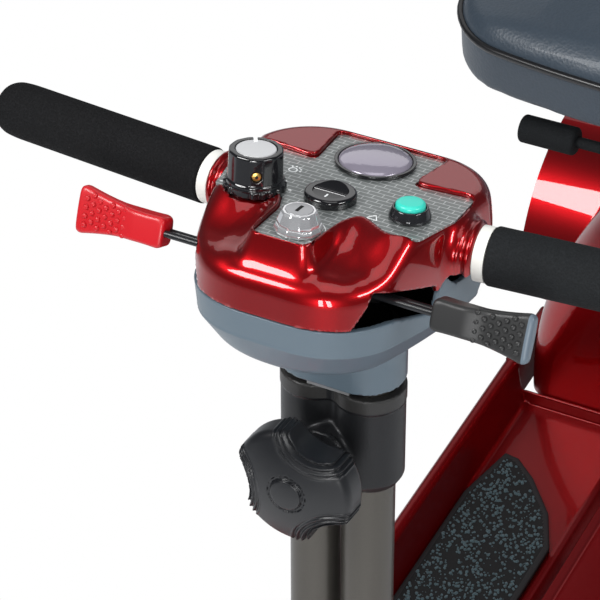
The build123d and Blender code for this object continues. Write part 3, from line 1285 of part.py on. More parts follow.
with BuildPart() as batteries:
    for side in (-1, 1):
        with Locations((side * BATTERY_X, BATTERY_Y, TRAY_TOP + GAP + BATTERY_HEIGHT / 2)):
            Box(156, 88, BATTERY_HEIGHT)
    fillet(batteries.edges().filter_by(Axis.Z), 6)
    for side in (-1, 1):
        with Locations((side * BATTERY_X - 50, BATTERY_Y, TRAY_TOP + BATTERY_HEIGHT + 4),
                       (side * BATTERY_X + 50, BATTERY_Y, TRAY_TOP + BATTERY_HEIGHT + 4)):
            Cylinder(7, 10)
    for side in (-1, 1):
        with BuildSketch(Plane.XY.offset(TRAY_TOP + BATTERY_HEIGHT)):
            with Locations((side * BATTERY_X, BATTERY_Y)):
                Rectangle(70, 20)
                Rectangle(54, 10, mode=Mode.SUBTRACT)
        extrude(amount=10)
pieces["batteries"] = batteries

with BuildPart() as transaxle_housing:
    with Locations((MOTOR_X, REAR_AXLE_Y, WHEEL_RADIUS)):
        Cylinder(52, 76, rotation=(0, 90, 0))
    with BuildSketch(Plane.YZ.offset(-188)):
        with Locations((REAR_AXLE_Y, WHEEL_RADIUS)):
            Circle(AXLE_TUBE_RADIUS)
    extrude(amount=376)
    fillet(transaxle_housing.edges().filter_by(GeomType.CIRCLE).group_by(SortBy.RADIUS)[-1], 8)
    with Locations((MOTOR_X, REAR_AXLE_Y + 40, WHEEL_RADIUS + 8)):
        Box(72, 60, 72)
    # lug that carries the freewheel lever
    with Locations((47, FREEWHEEL_PIVOT[1], 185)):
        Box(6, 26, 66)
    with BuildSketch(Plane.YZ.offset(40)):
        with Locations((FREEWHEEL_PIVOT[1], FREEWHEEL_PIVOT[2])):
            Circle(4 + RUNNING)
    extrude(amount=14, mode=Mode.SUBTRACT)
    for side in (-1, 1):
        with Locations((side * RAIL_X, REAR_AXLE_Y, 106)):
            Box(22, 40, 15.4)
    for side in (-1, 1):
        with BuildSketch(axle_plane(side, SHAFT_END - 2)):
            Circle(AXLE_RADIUS + RUNNING)
        extrude(amount=140, mode=Mode.SUBTRACT)
pieces["transaxle_housing"] = transaxle_housing

MOTOR_FACE = REAR_AXLE_Y + 70
MOTOR_Z = 128
MOTOR_RADIUS = 36
MOTOR_LENGTH = 62
COOLING_GROOVES = 12
with BuildPart() as drive_motor:
    with BuildSketch(Plane.XZ.offset(-MOTOR_FACE - GAP)):
        with Locations((MOTOR_X, MOTOR_Z)):
            Circle(MOTOR_RADIUS)
    extrude(amount=-MOTOR_LENGTH)
    with BuildSketch(Plane.XZ.offset(-MOTOR_FACE - 12)):
        with Locations((MOTOR_X, MOTOR_Z)):
            with PolarLocations(MOTOR_RADIUS + 0.5, COOLING_GROOVES):
                Circle(1.8)
    extrude(amount=-42, mode=Mode.SUBTRACT)
    # parking brake on the motor's end, a solid of its own
    with BuildSketch(Plane.XZ.offset(-MOTOR_FACE - MOTOR_LENGTH - 2 * GAP)):
        with Locations((MOTOR_X, MOTOR_Z)):
            Circle(MOTOR_RADIUS - 6)
    extrude(amount=-20)
pieces["drive_motor"] = drive_motor

with BuildPart() as freewheel_lever:
    pivot_x, pivot_y, pivot_z = FREEWHEEL_PIVOT
    with BuildSketch(Plane.YZ.offset(pivot_x - 4)):
        with Locations((pivot_y, pivot_z)):
            Circle(10)
        with Locations((pivot_y + FREEWHEEL_REACH / 2 - 4, pivot_z)):
            Rectangle(FREEWHEEL_REACH - 8, 9)
    extrude(amount=8)
    with Locations((pivot_x, pivot_y + FREEWHEEL_REACH, pivot_z)):
        Box(16, 26, 16)
    with BuildSketch(Plane.YZ.offset(pivot_x - 20)):
        with Locations((pivot_y, pivot_z)):
            Circle(4)
    extrude(amount=22)
pieces["freewheel_lever"] = freewheel_lever

with BuildPart() as controller_box:
    with Locations((CONTROLLER_X, CONTROLLER_Y, SHELF_TOP + GAP + CONTROLLER_HEIGHT / 2)):
        Box(110, 90, CONTROLLER_HEIGHT)
    fillet(controller_box.edges().filter_by(Axis.Z), 6)
    with Locations((CONTROLLER_X, CONTROLLER_Y, SHELF_TOP + GAP + CONTROLLER_HEIGHT)):
        with GridLocations(14, 0, 7, 1):
            Box(4, 78, 8)
pieces["controller_box"] = controller_box

with BuildPart() as seat_post:
    with BuildSketch(Plane.XY.offset(RAIL_TOP)):
        with Locations((0, POST_Y)):
            Circle(POST_RADIUS)
            Circle(STEM_SEAT_RADIUS + RUNNING, mode=Mode.SUBTRACT)
    extrude(amount=440 - RAIL_TOP)
pieces["seat_post"] = seat_post

# ---------------------------------------------------------------- seat
CUSHION_REAR = SEAT_Y + SEAT_DEPTH / 2
CUSHION_FRONT = SEAT_Y - SEAT_DEPTH / 2
PLATE_TOP = SEAT_BOTTOM - GAP
BRACKET_X = 229
STEM_BOTTOM = 345
LEVER_PIVOT = (-42, 128)
LEVER_Z = 498


def cushion_outline(z, inset=0.0):
    """Seat plan: rounded corners and a bowed front edge."""
    half = SEAT_HALF_WIDTH - inset
    front = CUSHION_FRONT + inset
    rear = CUSHION_REAR - inset
    with BuildSketch(Plane.XY.offset(z)) as plan:
        with BuildLine():
            ThreePointArc((-half, front + 75), (-half * 0.72, front + 25), (-half * 0.35, front + 4))
            ThreePointArc((-half * 0.35, front + 4), (0, front), (half * 0.35, front + 4))
            ThreePointArc((half * 0.35, front + 4), (half * 0.72, front + 25), (half, front + 75))
            Polyline((half, front + 75), (half, rear), (-half, rear), (-half, front + 75))
        make_face()
        fillet(plan.vertices().sort_by(Axis.Y)[-2:], 40)
    return plan.sketch


with BuildPart() as seat_cushion:
    extrude(cushion_outline(SEAT_BOTTOM), amount=SEAT_THICKNESS)
    fillet(seat_cushion.edges().group_by(Axis.Z)[-1], 24)
pieces["seat_cushion"] = seat_cushion

with BuildPart() as seat_base:
    extrude(cushion_outline(PLATE_TOP - 10, inset=34), amount=10)
    with Locations((0, POST_Y, (PLATE_TOP - 10 + STEM_BOTTOM) / 2)):
        Cylinder(STEM_SEAT_RADIUS, PLATE_TOP - 10 - STEM_BOTTOM)
    with Locations((0, POST_Y, PLATE_TOP - 22)):
        Cylinder(60, 26)
    # recliner side plates, from the plate's edge up to the backrest pivots
    for side in (-1, 1):
        with BuildSketch(Plane.YZ.offset(side * BRACKET_X - 3)):
            with BuildLine():
                Polyline((CUSHION_REAR - 60, PLATE_TOP - 20), (CUSHION_REAR + 24, PLATE_TOP - 20),
                         (BACK_PIVOT_Y + 22, BACK_PIVOT_Z - 10), (BACK_PIVOT_Y + 14, BACK_PIVOT_Z + 20),
                         (BACK_PIVOT_Y - 14, BACK_PIVOT_Z + 20), (BACK_PIVOT_Y - 14, BACK_PIVOT_Z - 13),
                         (CUSHION_REAR + 5, SEAT_BOTTOM + SEAT_THICKNESS + 1),
                         (CUSHION_REAR + 5, PLATE_TOP - 1), (CUSHION_REAR - 60, PLATE_TOP), close=True)
            make_face()
        extrude(amount=6)
        with Locations((side * (BRACKET_X - 16), CUSHION_REAR - 50, PLATE_TOP - 8)):
            Box(32, 60, 16)
        # pivot stud of the backrest
        with BuildSketch(Plane.YZ.offset(side * 206 if side > 0 else -232)):
            with Locations((BACK_PIVOT_Y, BACK_PIVOT_Z)):
                Circle(6)
        extrude(amount=26)
        # armrest post: out from under the plate, up and to the hinge
        with BuildLine() as route:
            FilletPolyline((side * 150, ARM_PIVOT_Y, PLATE_TOP - 17),
                           (side * ARM_X, ARM_PIVOT_Y, PLATE_TOP - 17),
                           (side * ARM_X, ARM_PIVOT_Y, ARM_PIVOT_Z + 8), radius=26)
        with BuildSketch(Plane(origin=route.line @ 0, z_dir=route.line % 0)):
            Circle(11)
        sweep(path=route.line)
        with BuildSketch(Plane.YZ.offset(side * ARM_X - 14)):
            with Locations((ARM_PIVOT_Y, ARM_PIVOT_Z)):
                Circle(5 + RUNNING)
        extrude(amount=28, mode=Mode.SUBTRACT)
    # arm and pin of the swivel lever, ahead of the plate
    with Locations((LEVER_PIVOT[0], LEVER_PIVOT[1] + 24, PLATE_TOP - 13)):
        Box(26, 70, 8)
    with Locations((LEVER_PIVOT[0], LEVER_PIVOT[1], LEVER_Z + 5)):
        Cylinder(4, 34)
pieces["seat_base"] = seat_base

with BuildPart() as seat_lever:
    with BuildSketch(Plane.YZ.offset(LEVER_PIVOT[0] - 6)):
        with Locations((LEVER_PIVOT[1], LEVER_Z)):
            Circle(5)
    extrude(amount=-112)
    with BuildSketch(Plane.YZ.offset(-114)):
        with Locations((LEVER_PIVOT[1], LEVER_Z)):
            Circle(12.5)
    extrude(amount=-52)
    fillet(seat_lever.edges().filter_by(GeomType.CIRCLE).group_by(SortBy.RADIUS)[-1], 3)
    with Locations((LEVER_PIVOT[0], LEVER_PIVOT[1], LEVER_Z)):
        Cylinder(10, 16)
        Cylinder(4 + RUNNING, 20, mode=Mode.SUBTRACT)
pieces["seat_lever"] = seat_lever

# ---------------------------------------------------------------- backrest and armrests
BACK_FRAME_X = 208
with BuildPart() as backrest_frame:
    for side in (-1, 1):
        with BuildSketch(at(BACK, side * BACK_FRAME_X, 52, 60)):
            Rectangle(7, 12)
        extrude(amount=BACK_HEIGHT - 30)
        with BuildSketch(facing(BACK, (1, 0, 0), x=side * BACK_FRAME_X - 3.5)):
            with BuildLine():
                Polyline((-14, 8), (-10, -12), (10, -14), (16, 10), (58, 52), (58, 90), (46, 90), (46, 62),
                         close=True)
            make_face()
            Circle(6 + RUNNING, mode=Mode.SUBTRACT)
        extrude(amount=7)
    # pressed pan behind the cushion, with three swaged ribs
    with BuildSketch(at(BACK, 0, 47.5, 70)):
        Rectangle(2 * BACK_FRAME_X, 3)
        with Locations((-110, 3), (0, 3), (110, 3)):
            Rectangle(26, 6)
    extrude(amount=330)
pieces["backrest_frame"] = backrest_frame

BACK_CUSHION_REAR = 45.7
BACK_FOOT = 14

with BuildPart() as backrest_cushion:
    with BuildSketch(facing(BACK, (0, -1, 0), y=BACK_CUSHION_REAR)):
        with BuildLine():
            top = BACK_HEIGHT + 36
            Polyline((-BACK_HALF_WIDTH, BACK_FOOT), (BACK_HALF_WIDTH, BACK_FOOT),
                     (BACK_HALF_WIDTH - 8, top - 90))
            ThreePointArc((BACK_HALF_WIDTH - 8, top - 90), (BACK_HALF_WIDTH * 0.72, top - 22), (60, top))
            Line((60, top), (-60, top))
            ThreePointArc((-60, top), (-BACK_HALF_WIDTH * 0.72, top - 22), (-BACK_HALF_WIDTH + 8, top - 90))
            Line((-BACK_HALF_WIDTH + 8, top - 90), (-BACK_HALF_WIDTH, BACK_FOOT))
        make_face()
    extrude(amount=BACK_THICKNESS)
    front_face = backrest_cushion.faces().sort_by(Axis(BACK.origin, BACK.y_dir))[0]
    fillet(front_face.edges(), 22)
pieces["backrest_cushion"] = backrest_cushion


def armrest(side):
    """Padded arm on a bracket that hinges on the top of its post."""
    with BuildPart() as arm:
        with BuildSketch(Plane.XY.offset(ARM_PIVOT_Z + 6)):
            with Locations((side * (ARM_X - 4), 326)):
                RectangleRounded(50, 280, 22)
        extrude(amount=30)
        fillet(arm.edges().group_by(Axis.Z)[-1], 10)
        # channel under the pad; its two cheeks reach back past the post
        for edge in (-1, 1):
            with Locations((side * ARM_X + edge * 12.9, 350, ARM_PIVOT_Z - 1)):
                Box(3, 284, 16)
        with Locations((side * ARM_X, 335, ARM_PIVOT_Z + 4.7)):
            Box(28.8, 256, 3)
        with BuildSketch(Plane.YZ.offset(side * ARM_X - 15)):
            with Locations((ARM_PIVOT_Y, ARM_PIVOT_Z)):
                Circle(5)
        extrude(amount=30)
    return arm


pieces["armrest_left"] = armrest(1)
pieces["armrest_right"] = armrest(-1)

os.makedirs("parts", exist_ok=True)
for name, piece in pieces.items():
    piece.part.label = name
    export_step(piece.part, f"parts/{name}.step")
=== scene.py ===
"""Looks of a four-wheel mobility scooter, built around its packed construction model.

The visible pieces are sculpted from signed distance functions, turned profiles and
Geometry Nodes patterns, and every finish is procedural.
"""
import logging
import math
from dataclasses import dataclass
from enum import Enum
from typing import Callable, Dict, List, Optional, Sequence, Tuple, Union

import bpy
import numpy as np
from mathutils import Matrix, Vector


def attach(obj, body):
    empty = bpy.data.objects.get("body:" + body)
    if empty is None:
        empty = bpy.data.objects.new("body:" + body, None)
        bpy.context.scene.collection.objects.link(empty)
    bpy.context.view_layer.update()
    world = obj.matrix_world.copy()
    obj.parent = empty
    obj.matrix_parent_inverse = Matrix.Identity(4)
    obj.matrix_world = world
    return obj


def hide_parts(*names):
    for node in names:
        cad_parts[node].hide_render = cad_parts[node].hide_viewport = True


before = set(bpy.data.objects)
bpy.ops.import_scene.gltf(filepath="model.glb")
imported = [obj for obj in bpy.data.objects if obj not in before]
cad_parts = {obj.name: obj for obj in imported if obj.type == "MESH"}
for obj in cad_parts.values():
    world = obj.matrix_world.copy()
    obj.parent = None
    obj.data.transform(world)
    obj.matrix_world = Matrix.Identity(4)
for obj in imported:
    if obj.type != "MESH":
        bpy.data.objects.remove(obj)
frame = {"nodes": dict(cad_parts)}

for spare in ("Cube", "Light", "Camera"):
    if spare in bpy.data.objects:
        bpy.data.objects.remove(bpy.data.objects[spare])
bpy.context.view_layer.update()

logging.basicConfig(level=logging.INFO, format="%(message)s")
log = logging.getLogger("scooter")

Array = np.ndarray
Number = Union[float, np.ndarray]
Field = Callable[[Array], Array]
Point2 = Tuple[float, float]
MM = 0.001


# ------------------------------------------------------------------ frames
@dataclass(frozen=True)
class Frame:
    """A local frame in millimetres: X stays across the scooter, the rest leans about X.

    Args:
        origin: Where the frame's zero is, in scooter millimetres.
        lean: How far the normal tips towards the rider, in degrees.
    """

    origin: Tuple[float, float, float]
    lean: float

    @property
    def axes(self) -> Array:
        """Rows are the local X, Y and Z directions."""
        a = math.radians(self.lean)
        return np.array([[1, 0, 0], [0, math.cos(a), -math.sin(a)], [0, math.sin(a), math.cos(a)]])

    def world(self, points: Array) -> Array:
        """Local millimetres to scooter millimetres."""
        return points @ self.axes + np.array(self.origin)

    def local(self, points: Array) -> Array:
        """Scooter millimetres to local millimetres."""
        return (points - np.array(self.origin)) @ self.axes.T

    def shifted(self, x: float = 0.0, y: float = 0.0, z: float = 0.0, lean: float = 0.0) -> "Frame":
        """A frame moved by local offsets, and leaned further if asked."""
        return Frame(tuple(self.world(np.array([x, y, z]))), self.lean + lean)


HEAD = Frame((0.0, -471.0, 925.0), 14.0)
COLUMN = Frame((0.0, -471.0, 925.0), 8.0)
LEVER = HEAD.shifted(y=-56, z=-33, lean=15)
BACK = Frame((0.0, 545.0, 628.0), 14.0)
ROOT = Frame((0.0, 0.0, 0.0), 0.0)
BAR_SWEEP = math.radians(6)
BAR_BEND = 80.0


def bar_direction(side: int) -> Array:
    """Direction of one swept end of the handlebar, in the head's frame."""
    return np.array([side * math.cos(BAR_SWEEP), math.sin(BAR_SWEEP), 0.0])


def bar_bend(side: int) -> Array:
    """Bend of the handlebar on one side, in the head's frame."""
    return np.array([side * BAR_BEND, 6.0, -22.0])


# ------------------------------------------------------------------ distance functions
def smin(a: Array, b: Array, k: float) -> Array:
    """Union of two distances with a fillet of about k."""
    h = np.clip(0.5 + 0.5 * (b - a) / k, 0, 1)
    return b + (a - b) * h - k * h * (1 - h)


def smax(a: Array, b: Array, k: float) -> Array:
    """Intersection of two distances with a round of about k."""
    return -smin(-a, -b, k)


def step(x: Array, low: float, high: float) -> Array:
    """Smooth ramp from 0 at low to 1 at high."""
    t = np.clip((x - low) / (high - low), 0, 1)
    return t * t * (3 - 2 * t)


def split(p: Array) -> Tuple[Array, Array, Array]:
    """X, Y and Z of an array of points."""
    return p[..., 0], p[..., 1], p[..., 2]


def hypot(*parts: Array) -> Array:
    """Length of the vector made by the parts."""
    return np.sqrt(sum(p * p for p in parts))


def plan_box(x: Array, y: Array, half: Number, front: Number, rear: Number, r_front: Number,
             r_rear: Number) -> Array:
    """Signed distance to a rounded rectangle, with one radius in front and one behind.

    Args:
        x, y: Coordinates.
        half: Half width.
        front, rear: Ends along y.
        r_front, r_rear: Corner radii.

    Returns:
        Signed distances in millimetres, negative inside.
    """
    middle = (front + rear) / 2
    radius = np.where(y < middle, r_front, r_rear)
    qx = np.abs(x) - half + radius
    qy = np.abs(y - middle) - (rear - front) / 2 + radius
    return np.minimum(np.maximum(qx, qy), 0) + hypot(np.maximum(qx, 0), np.maximum(qy, 0)) - radius


def polygon(x: Array, y: Array, corners: Sequence[Tuple[float, float]]) -> Array:
    """Exact signed distance to a closed polygon.

    Args:
        x, y: Coordinates.
        corners: Corners of the outline, in order.

    Returns:
        Signed distances in millimetres, negative inside.
    """
    points = np.array(corners, float)
    best = np.full(x.shape, 1e9)
    inside = np.ones(x.shape)
    for (ax, ay), (bx, by) in zip(points, np.roll(points, 1, axis=0)):
        ex, ey = bx - ax, by - ay
        wx, wy = x - ax, y - ay
        t = np.clip((wx * ex + wy * ey) / (ex * ex + ey * ey), 0, 1)
        best = np.minimum(best, (wx - ex * t) ** 2 + (wy - ey * t) ** 2)
        c1, c2, c3 = y >= ay, y < by, ex * wy > ey * wx
        inside = np.where((c1 & c2 & c3) | (~c1 & ~c2 & ~c3), -inside, inside)
    return inside * np.sqrt(best)


def bar_distance(p: Array, side: int) -> Tuple[Array, Array]:
    """Distance from one end of the handlebar, and the way along it from its bend.

    Args:
        p: Points in the head's frame.
        side: -1 for the right end, 1 for the left.

    Returns:
        Distances from the axis, and distances along it.
    """
    rel = p - bar_bend(side)
    along = rel @ bar_direction(side)
    return np.linalg.norm(rel - along[..., None] * bar_direction(side), axis=-1), along


# ------------------------------------------------------------------ mesher
@dataclass
class Sculpt:
    """Turns a distance function into a smooth closed mesh.

    Args:
        name: Object name.
        solid: Distance function of local points, negative inside.
        low, high: Corners of the box that holds the solid, in local millimetres.
        pitch: Cell size of the sampling, in millimetres.
        frame: Frame that the function is written in.
    """

    name: str
    solid: Field
    low: Sequence[float]
    high: Sequence[float]
    pitch: float
    frame: Frame = ROOT

    def _sample(self) -> Tuple[Array, Array]:
        """Samples the solid on a grid, plane by plane.

        Returns:
            Values on the grid, and the grid's first point.
        """
        axes = [np.arange(low - self.pitch, high + 2 * self.pitch, self.pitch)
                for low, high in zip(self.low, self.high)]
        shape = tuple(len(a) for a in axes)
        values = np.empty(shape)
        for i, x in enumerate(axes[0]):
            plane = np.stack(np.meshgrid([x], axes[1], axes[2], indexing="ij"), axis=-1)[0]
            values[i] = self.solid(plane)
        return values, np.array([a[0] for a in axes])

    @staticmethod
    def _net(values: Array) -> Tuple[Array, Array]:
        """Surface nets: one vertex in each cell the surface crosses, one quad per crossed edge.

        Args:
            values: Distances on the grid.

        Returns:
            Vertices in grid cells, and quads.
        """
        inside = values < 0
        corners = [(i, j, k) for i in (0, 1) for j in (0, 1) for k in (0, 1)]
        nx, ny, nz = (n - 1 for n in values.shape)
        count = sum(inside[i:nx + i, j:ny + j, k:nz + k].astype(np.int8) for i, j, k in corners)
        cells = np.argwhere((count > 0) & (count < 8))
        number = np.full((nx, ny, nz), -1, np.int64)
        number[tuple(cells.T)] = np.arange(len(cells))
        value = np.stack([values[cells[:, 0] + i, cells[:, 1] + j, cells[:, 2] + k]
                          for i, j, k in corners], 1)
        total = np.zeros((len(cells), 3))
        hits = np.zeros(len(cells))
        for a in range(8):
            for b in range(a + 1, 8):
                if sum(p != q for p, q in zip(corners[a], corners[b])) != 1:
                    continue
                crossed = (value[:, a] < 0) != (value[:, b] < 0)
                gap = np.where(crossed, value[:, a] - value[:, b], 1)
                t = np.where(crossed, value[:, a] / gap, 0)[:, None]
                spot = np.array(corners[a]) + t * (np.array(corners[b]) - np.array(corners[a]))
                total += np.where(crossed[:, None], spot, 0)
                hits += crossed
        vertices = cells + total / hits[:, None]
        quads: List[Array] = []
        for axis in range(3):
            lower = [slice(None)] * 3
            upper = [slice(None)] * 3
            lower[axis], upper[axis] = slice(0, -1), slice(1, None)
            crossed = inside[tuple(lower)] != inside[tuple(upper)]
            spots = np.argwhere(crossed)
            j, k = [a for a in range(3) if a != axis]
            limit = np.array(number.shape)
            keep = (spots[:, j] > 0) & (spots[:, k] > 0) & (spots[:, j] < limit[j]) & (spots[:, k] < limit[k])
            spots = spots[keep]
            ring = []
            for dj, dk in ((1, 1), (0, 1), (0, 0), (1, 0)):
                cell = spots.copy()
                cell[:, j] -= dj
                cell[:, k] -= dk
                ring.append(number[tuple(cell.T)])
            quad = np.stack(ring, 1)
            flip = inside[tuple(spots.T)] != (axis == 1)
            quad[~flip] = quad[~flip][:, ::-1]
            quads.append(quad)
        return vertices, np.concatenate(quads)

    def gradient(self, points: Array, reach: float) -> Array:
        """Slope of the distance function, by central differences.

        Args:
            points: Local points.
            reach: Step of the differences.

        Returns:
            Slope at each point.
        """
        slope = np.empty_like(points)
        for axis in range(3):
            shift = np.zeros(3)
            shift[axis] = reach
            slope[:, axis] = (self.solid(points + shift) - self.solid(points - shift)) / (2 * reach)
        return slope

    def mesh(self) -> Tuple[Array, Array, Array]:
        """Meshes the solid and pulls the vertices onto its surface.

        Returns:
            Vertices in local millimetres, quads and unit normals.
        """
        values, start = self._sample()
        vertices, quads = self._net(values)
        points = start + vertices * self.pitch
        for _ in range(3):
            slope = self.gradient(points, 0.08 * self.pitch)
            size = np.maximum((slope ** 2).sum(1), 0.05)
            move = -(self.solid(points) / size)[:, None] * slope
            far = np.maximum(np.linalg.norm(move, axis=1) / (0.6 * self.pitch), 1)
            points = points + move / far[:, None]
        slope = self.gradient(points, 0.2 * self.pitch)
        normals = slope / np.maximum(np.linalg.norm(slope, axis=1), 1e-6)[:, None]
        return points, quads, normals

    def build(self, finishes: Sequence[bpy.types.Material],
              choose: Optional[Callable[[Array, Array], Array]] = None) -> bpy.types.Object:
        """Makes the object.

        Args:
            finishes: Its finishes.
            choose: Picks a finish number from each face's centre and normal.

        Returns:
            The new object.
        """
        points, quads, normals = self.mesh()
        data = bpy.data.meshes.new(self.name)
        data.from_pydata((self.frame.world(points) * MM).tolist(), [], quads.tolist())
        data.polygons.foreach_set("use_smooth", [True] * len(data.polygons))
        for finish in finishes:
            data.materials.append(finish)
        if choose is not None:
            centre = points[quads].mean(1)
            facing = normals[quads].mean(1)
            data.polygons.foreach_set("material_index", choose(centre, facing).astype(np.int32))
        data.update()
        world = normals @ self.frame.axes
        data.normals_split_custom_set_from_vertices(world.tolist())
        thing = link(self.name, data)
        log.info("%s: sculpted, %d faces", self.name, len(quads))
        return thing


def link(name: str, data: bpy.types.ID) -> bpy.types.Object:
    """Puts a data block into the scene as an object."""
    thing = bpy.data.objects.new(name, data)
    bpy.context.scene.collection.objects.link(thing)
    return thing


def from_arrays(name: str, points: Array, faces: Sequence[Sequence[int]], finish: bpy.types.Material,
                smooth: bool = True) -> bpy.types.Object:
    """Makes an object from scooter millimetres.

    Args:
        name: Object name.
        points: Scooter millimetres.
        faces: Corner numbers of each face.
        finish: Its finish.
        smooth: Whether it shades smooth.

    Returns:
        The new object.
    """
    data = bpy.data.meshes.new(name)
    data.from_pydata((np.asarray(points) * MM).tolist(), [], [list(f) for f in faces])
    data.polygons.foreach_set("use_smooth", [smooth] * len(data.polygons))
    data.materials.append(finish)
    data.update()
    return link(name, data)


@dataclass
class Lathe:
    """A turned solid: a closed half profile of (radius, height) revolved round an axis.

    Args:
        name: Object name.
        profile: Corners from the bottom of the axis to its top.
        frame: Frame whose origin is on the axis.
        axis: Local direction of the axis.
        rounding: Radius given to every corner off the axis.
        segments: Number of steps round.
        shape: Factor on the radius at an angle, for facets.
    """

    name: str
    profile: Sequence[Tuple[float, float]]
    frame: Frame
    axis: Tuple[float, float, float] = (0.0, 0.0, 1.0)
    rounding: float = 0.6
    segments: int = 96
    shape: Optional[Callable[[float], float]] = None

    def _rounded(self) -> List[Tuple[float, float]]:
        """Rounds every corner off the axis.

        Returns:
            Points of the rounded profile.
        """
        out: List[Tuple[float, float]] = []
        for i, here in enumerate(self.profile):
            if i in (0, len(self.profile) - 1):
                out.append(here)
                continue
            before, after = Vector(self.profile[i - 1]), Vector(self.profile[i + 1])
            spot = Vector(here)
            a, b = before - spot, after - spot
            reach = min(self.rounding, a.length * 0.45, b.length * 0.45)
            start, end = spot + a.normalized() * reach, spot + b.normalized() * reach
            for n in range(5):
                t = n / 4
                q = start * (1 - t) ** 2 + spot * 2 * t * (1 - t) + end * t * t
                out.append((q.x, q.y))
        return out

    def build(self, finish: bpy.types.Material) -> bpy.types.Object:
        """Turns the profile.

        Args:
            finish: Its finish.

        Returns:
            The new object.
        """
        rows = self._rounded()
        up = Vector(self.axis).normalized()
        side = up.orthogonal().normalized() if abs(up.z) < 0.99 else Vector((1, 0, 0))
        other = up.cross(side)
        points: List[Vector] = []
        faces: List[List[int]] = []
        closed = [r < 1e-6 for r, _ in rows]
        starts: List[int] = []
        for (radius, height), pole in zip(rows, closed):
            starts.append(len(points))
            for s in range(1 if pole else self.segments):
                angle = 2 * math.pi * s / self.segments
                wide = radius * (self.shape(angle) if self.shape else 1.0)
                points.append(side * wide * math.cos(angle) + other * wide * math.sin(angle) + up * height)
        for i in range(len(rows) - 1):
            for s in range(self.segments):
                n = (s + 1) % self.segments
                a = [starts[i]] if closed[i] else [starts[i] + s, starts[i] + n]
                b = [starts[i + 1]] if closed[i + 1] else [starts[i + 1] + n, starts[i + 1] + s]
                face = a + b
                if len(face) > 2:
                    faces.append(face)
        data = self.frame.world(np.array([tuple(p) for p in points]))
        thing = from_arrays(self.name, data, faces, finish)
        log.info("%s: turned, %d faces", self.name, len(faces))
        return thing


# ------------------------------------------------------------------ finishes
class Grain(Enum):
    """Relief that a finish can carry."""

    NONE = "none"
    FOAM = "foam"
    MOULDED = "moulded"
    VINYL = "vinyl"
    CAST = "cast"


@dataclass(frozen=True)
class Look:
    """One procedural finish.

    Args:
        colour: Linear base colour.
        rough: Roughness of the body.
        metal: Metallic weight.
        coat: Weight of a clear coat.
        grain: Relief in the surface.
        speck: How strongly the colour varies over the grain.
        transmission: Weight of clear glass.
        sheen: Weight of a soft sheen.
        specular: Strength of the plain reflection.
    """

    colour: Tuple[float, float, float]
    rough: float = 0.5
    metal: float = 0.0
    coat: float = 0.0
    grain: Grain = Grain.NONE
    speck: float = 0.0
    transmission: float = 0.0
    sheen: float = 0.0
    specular: float = 0.5


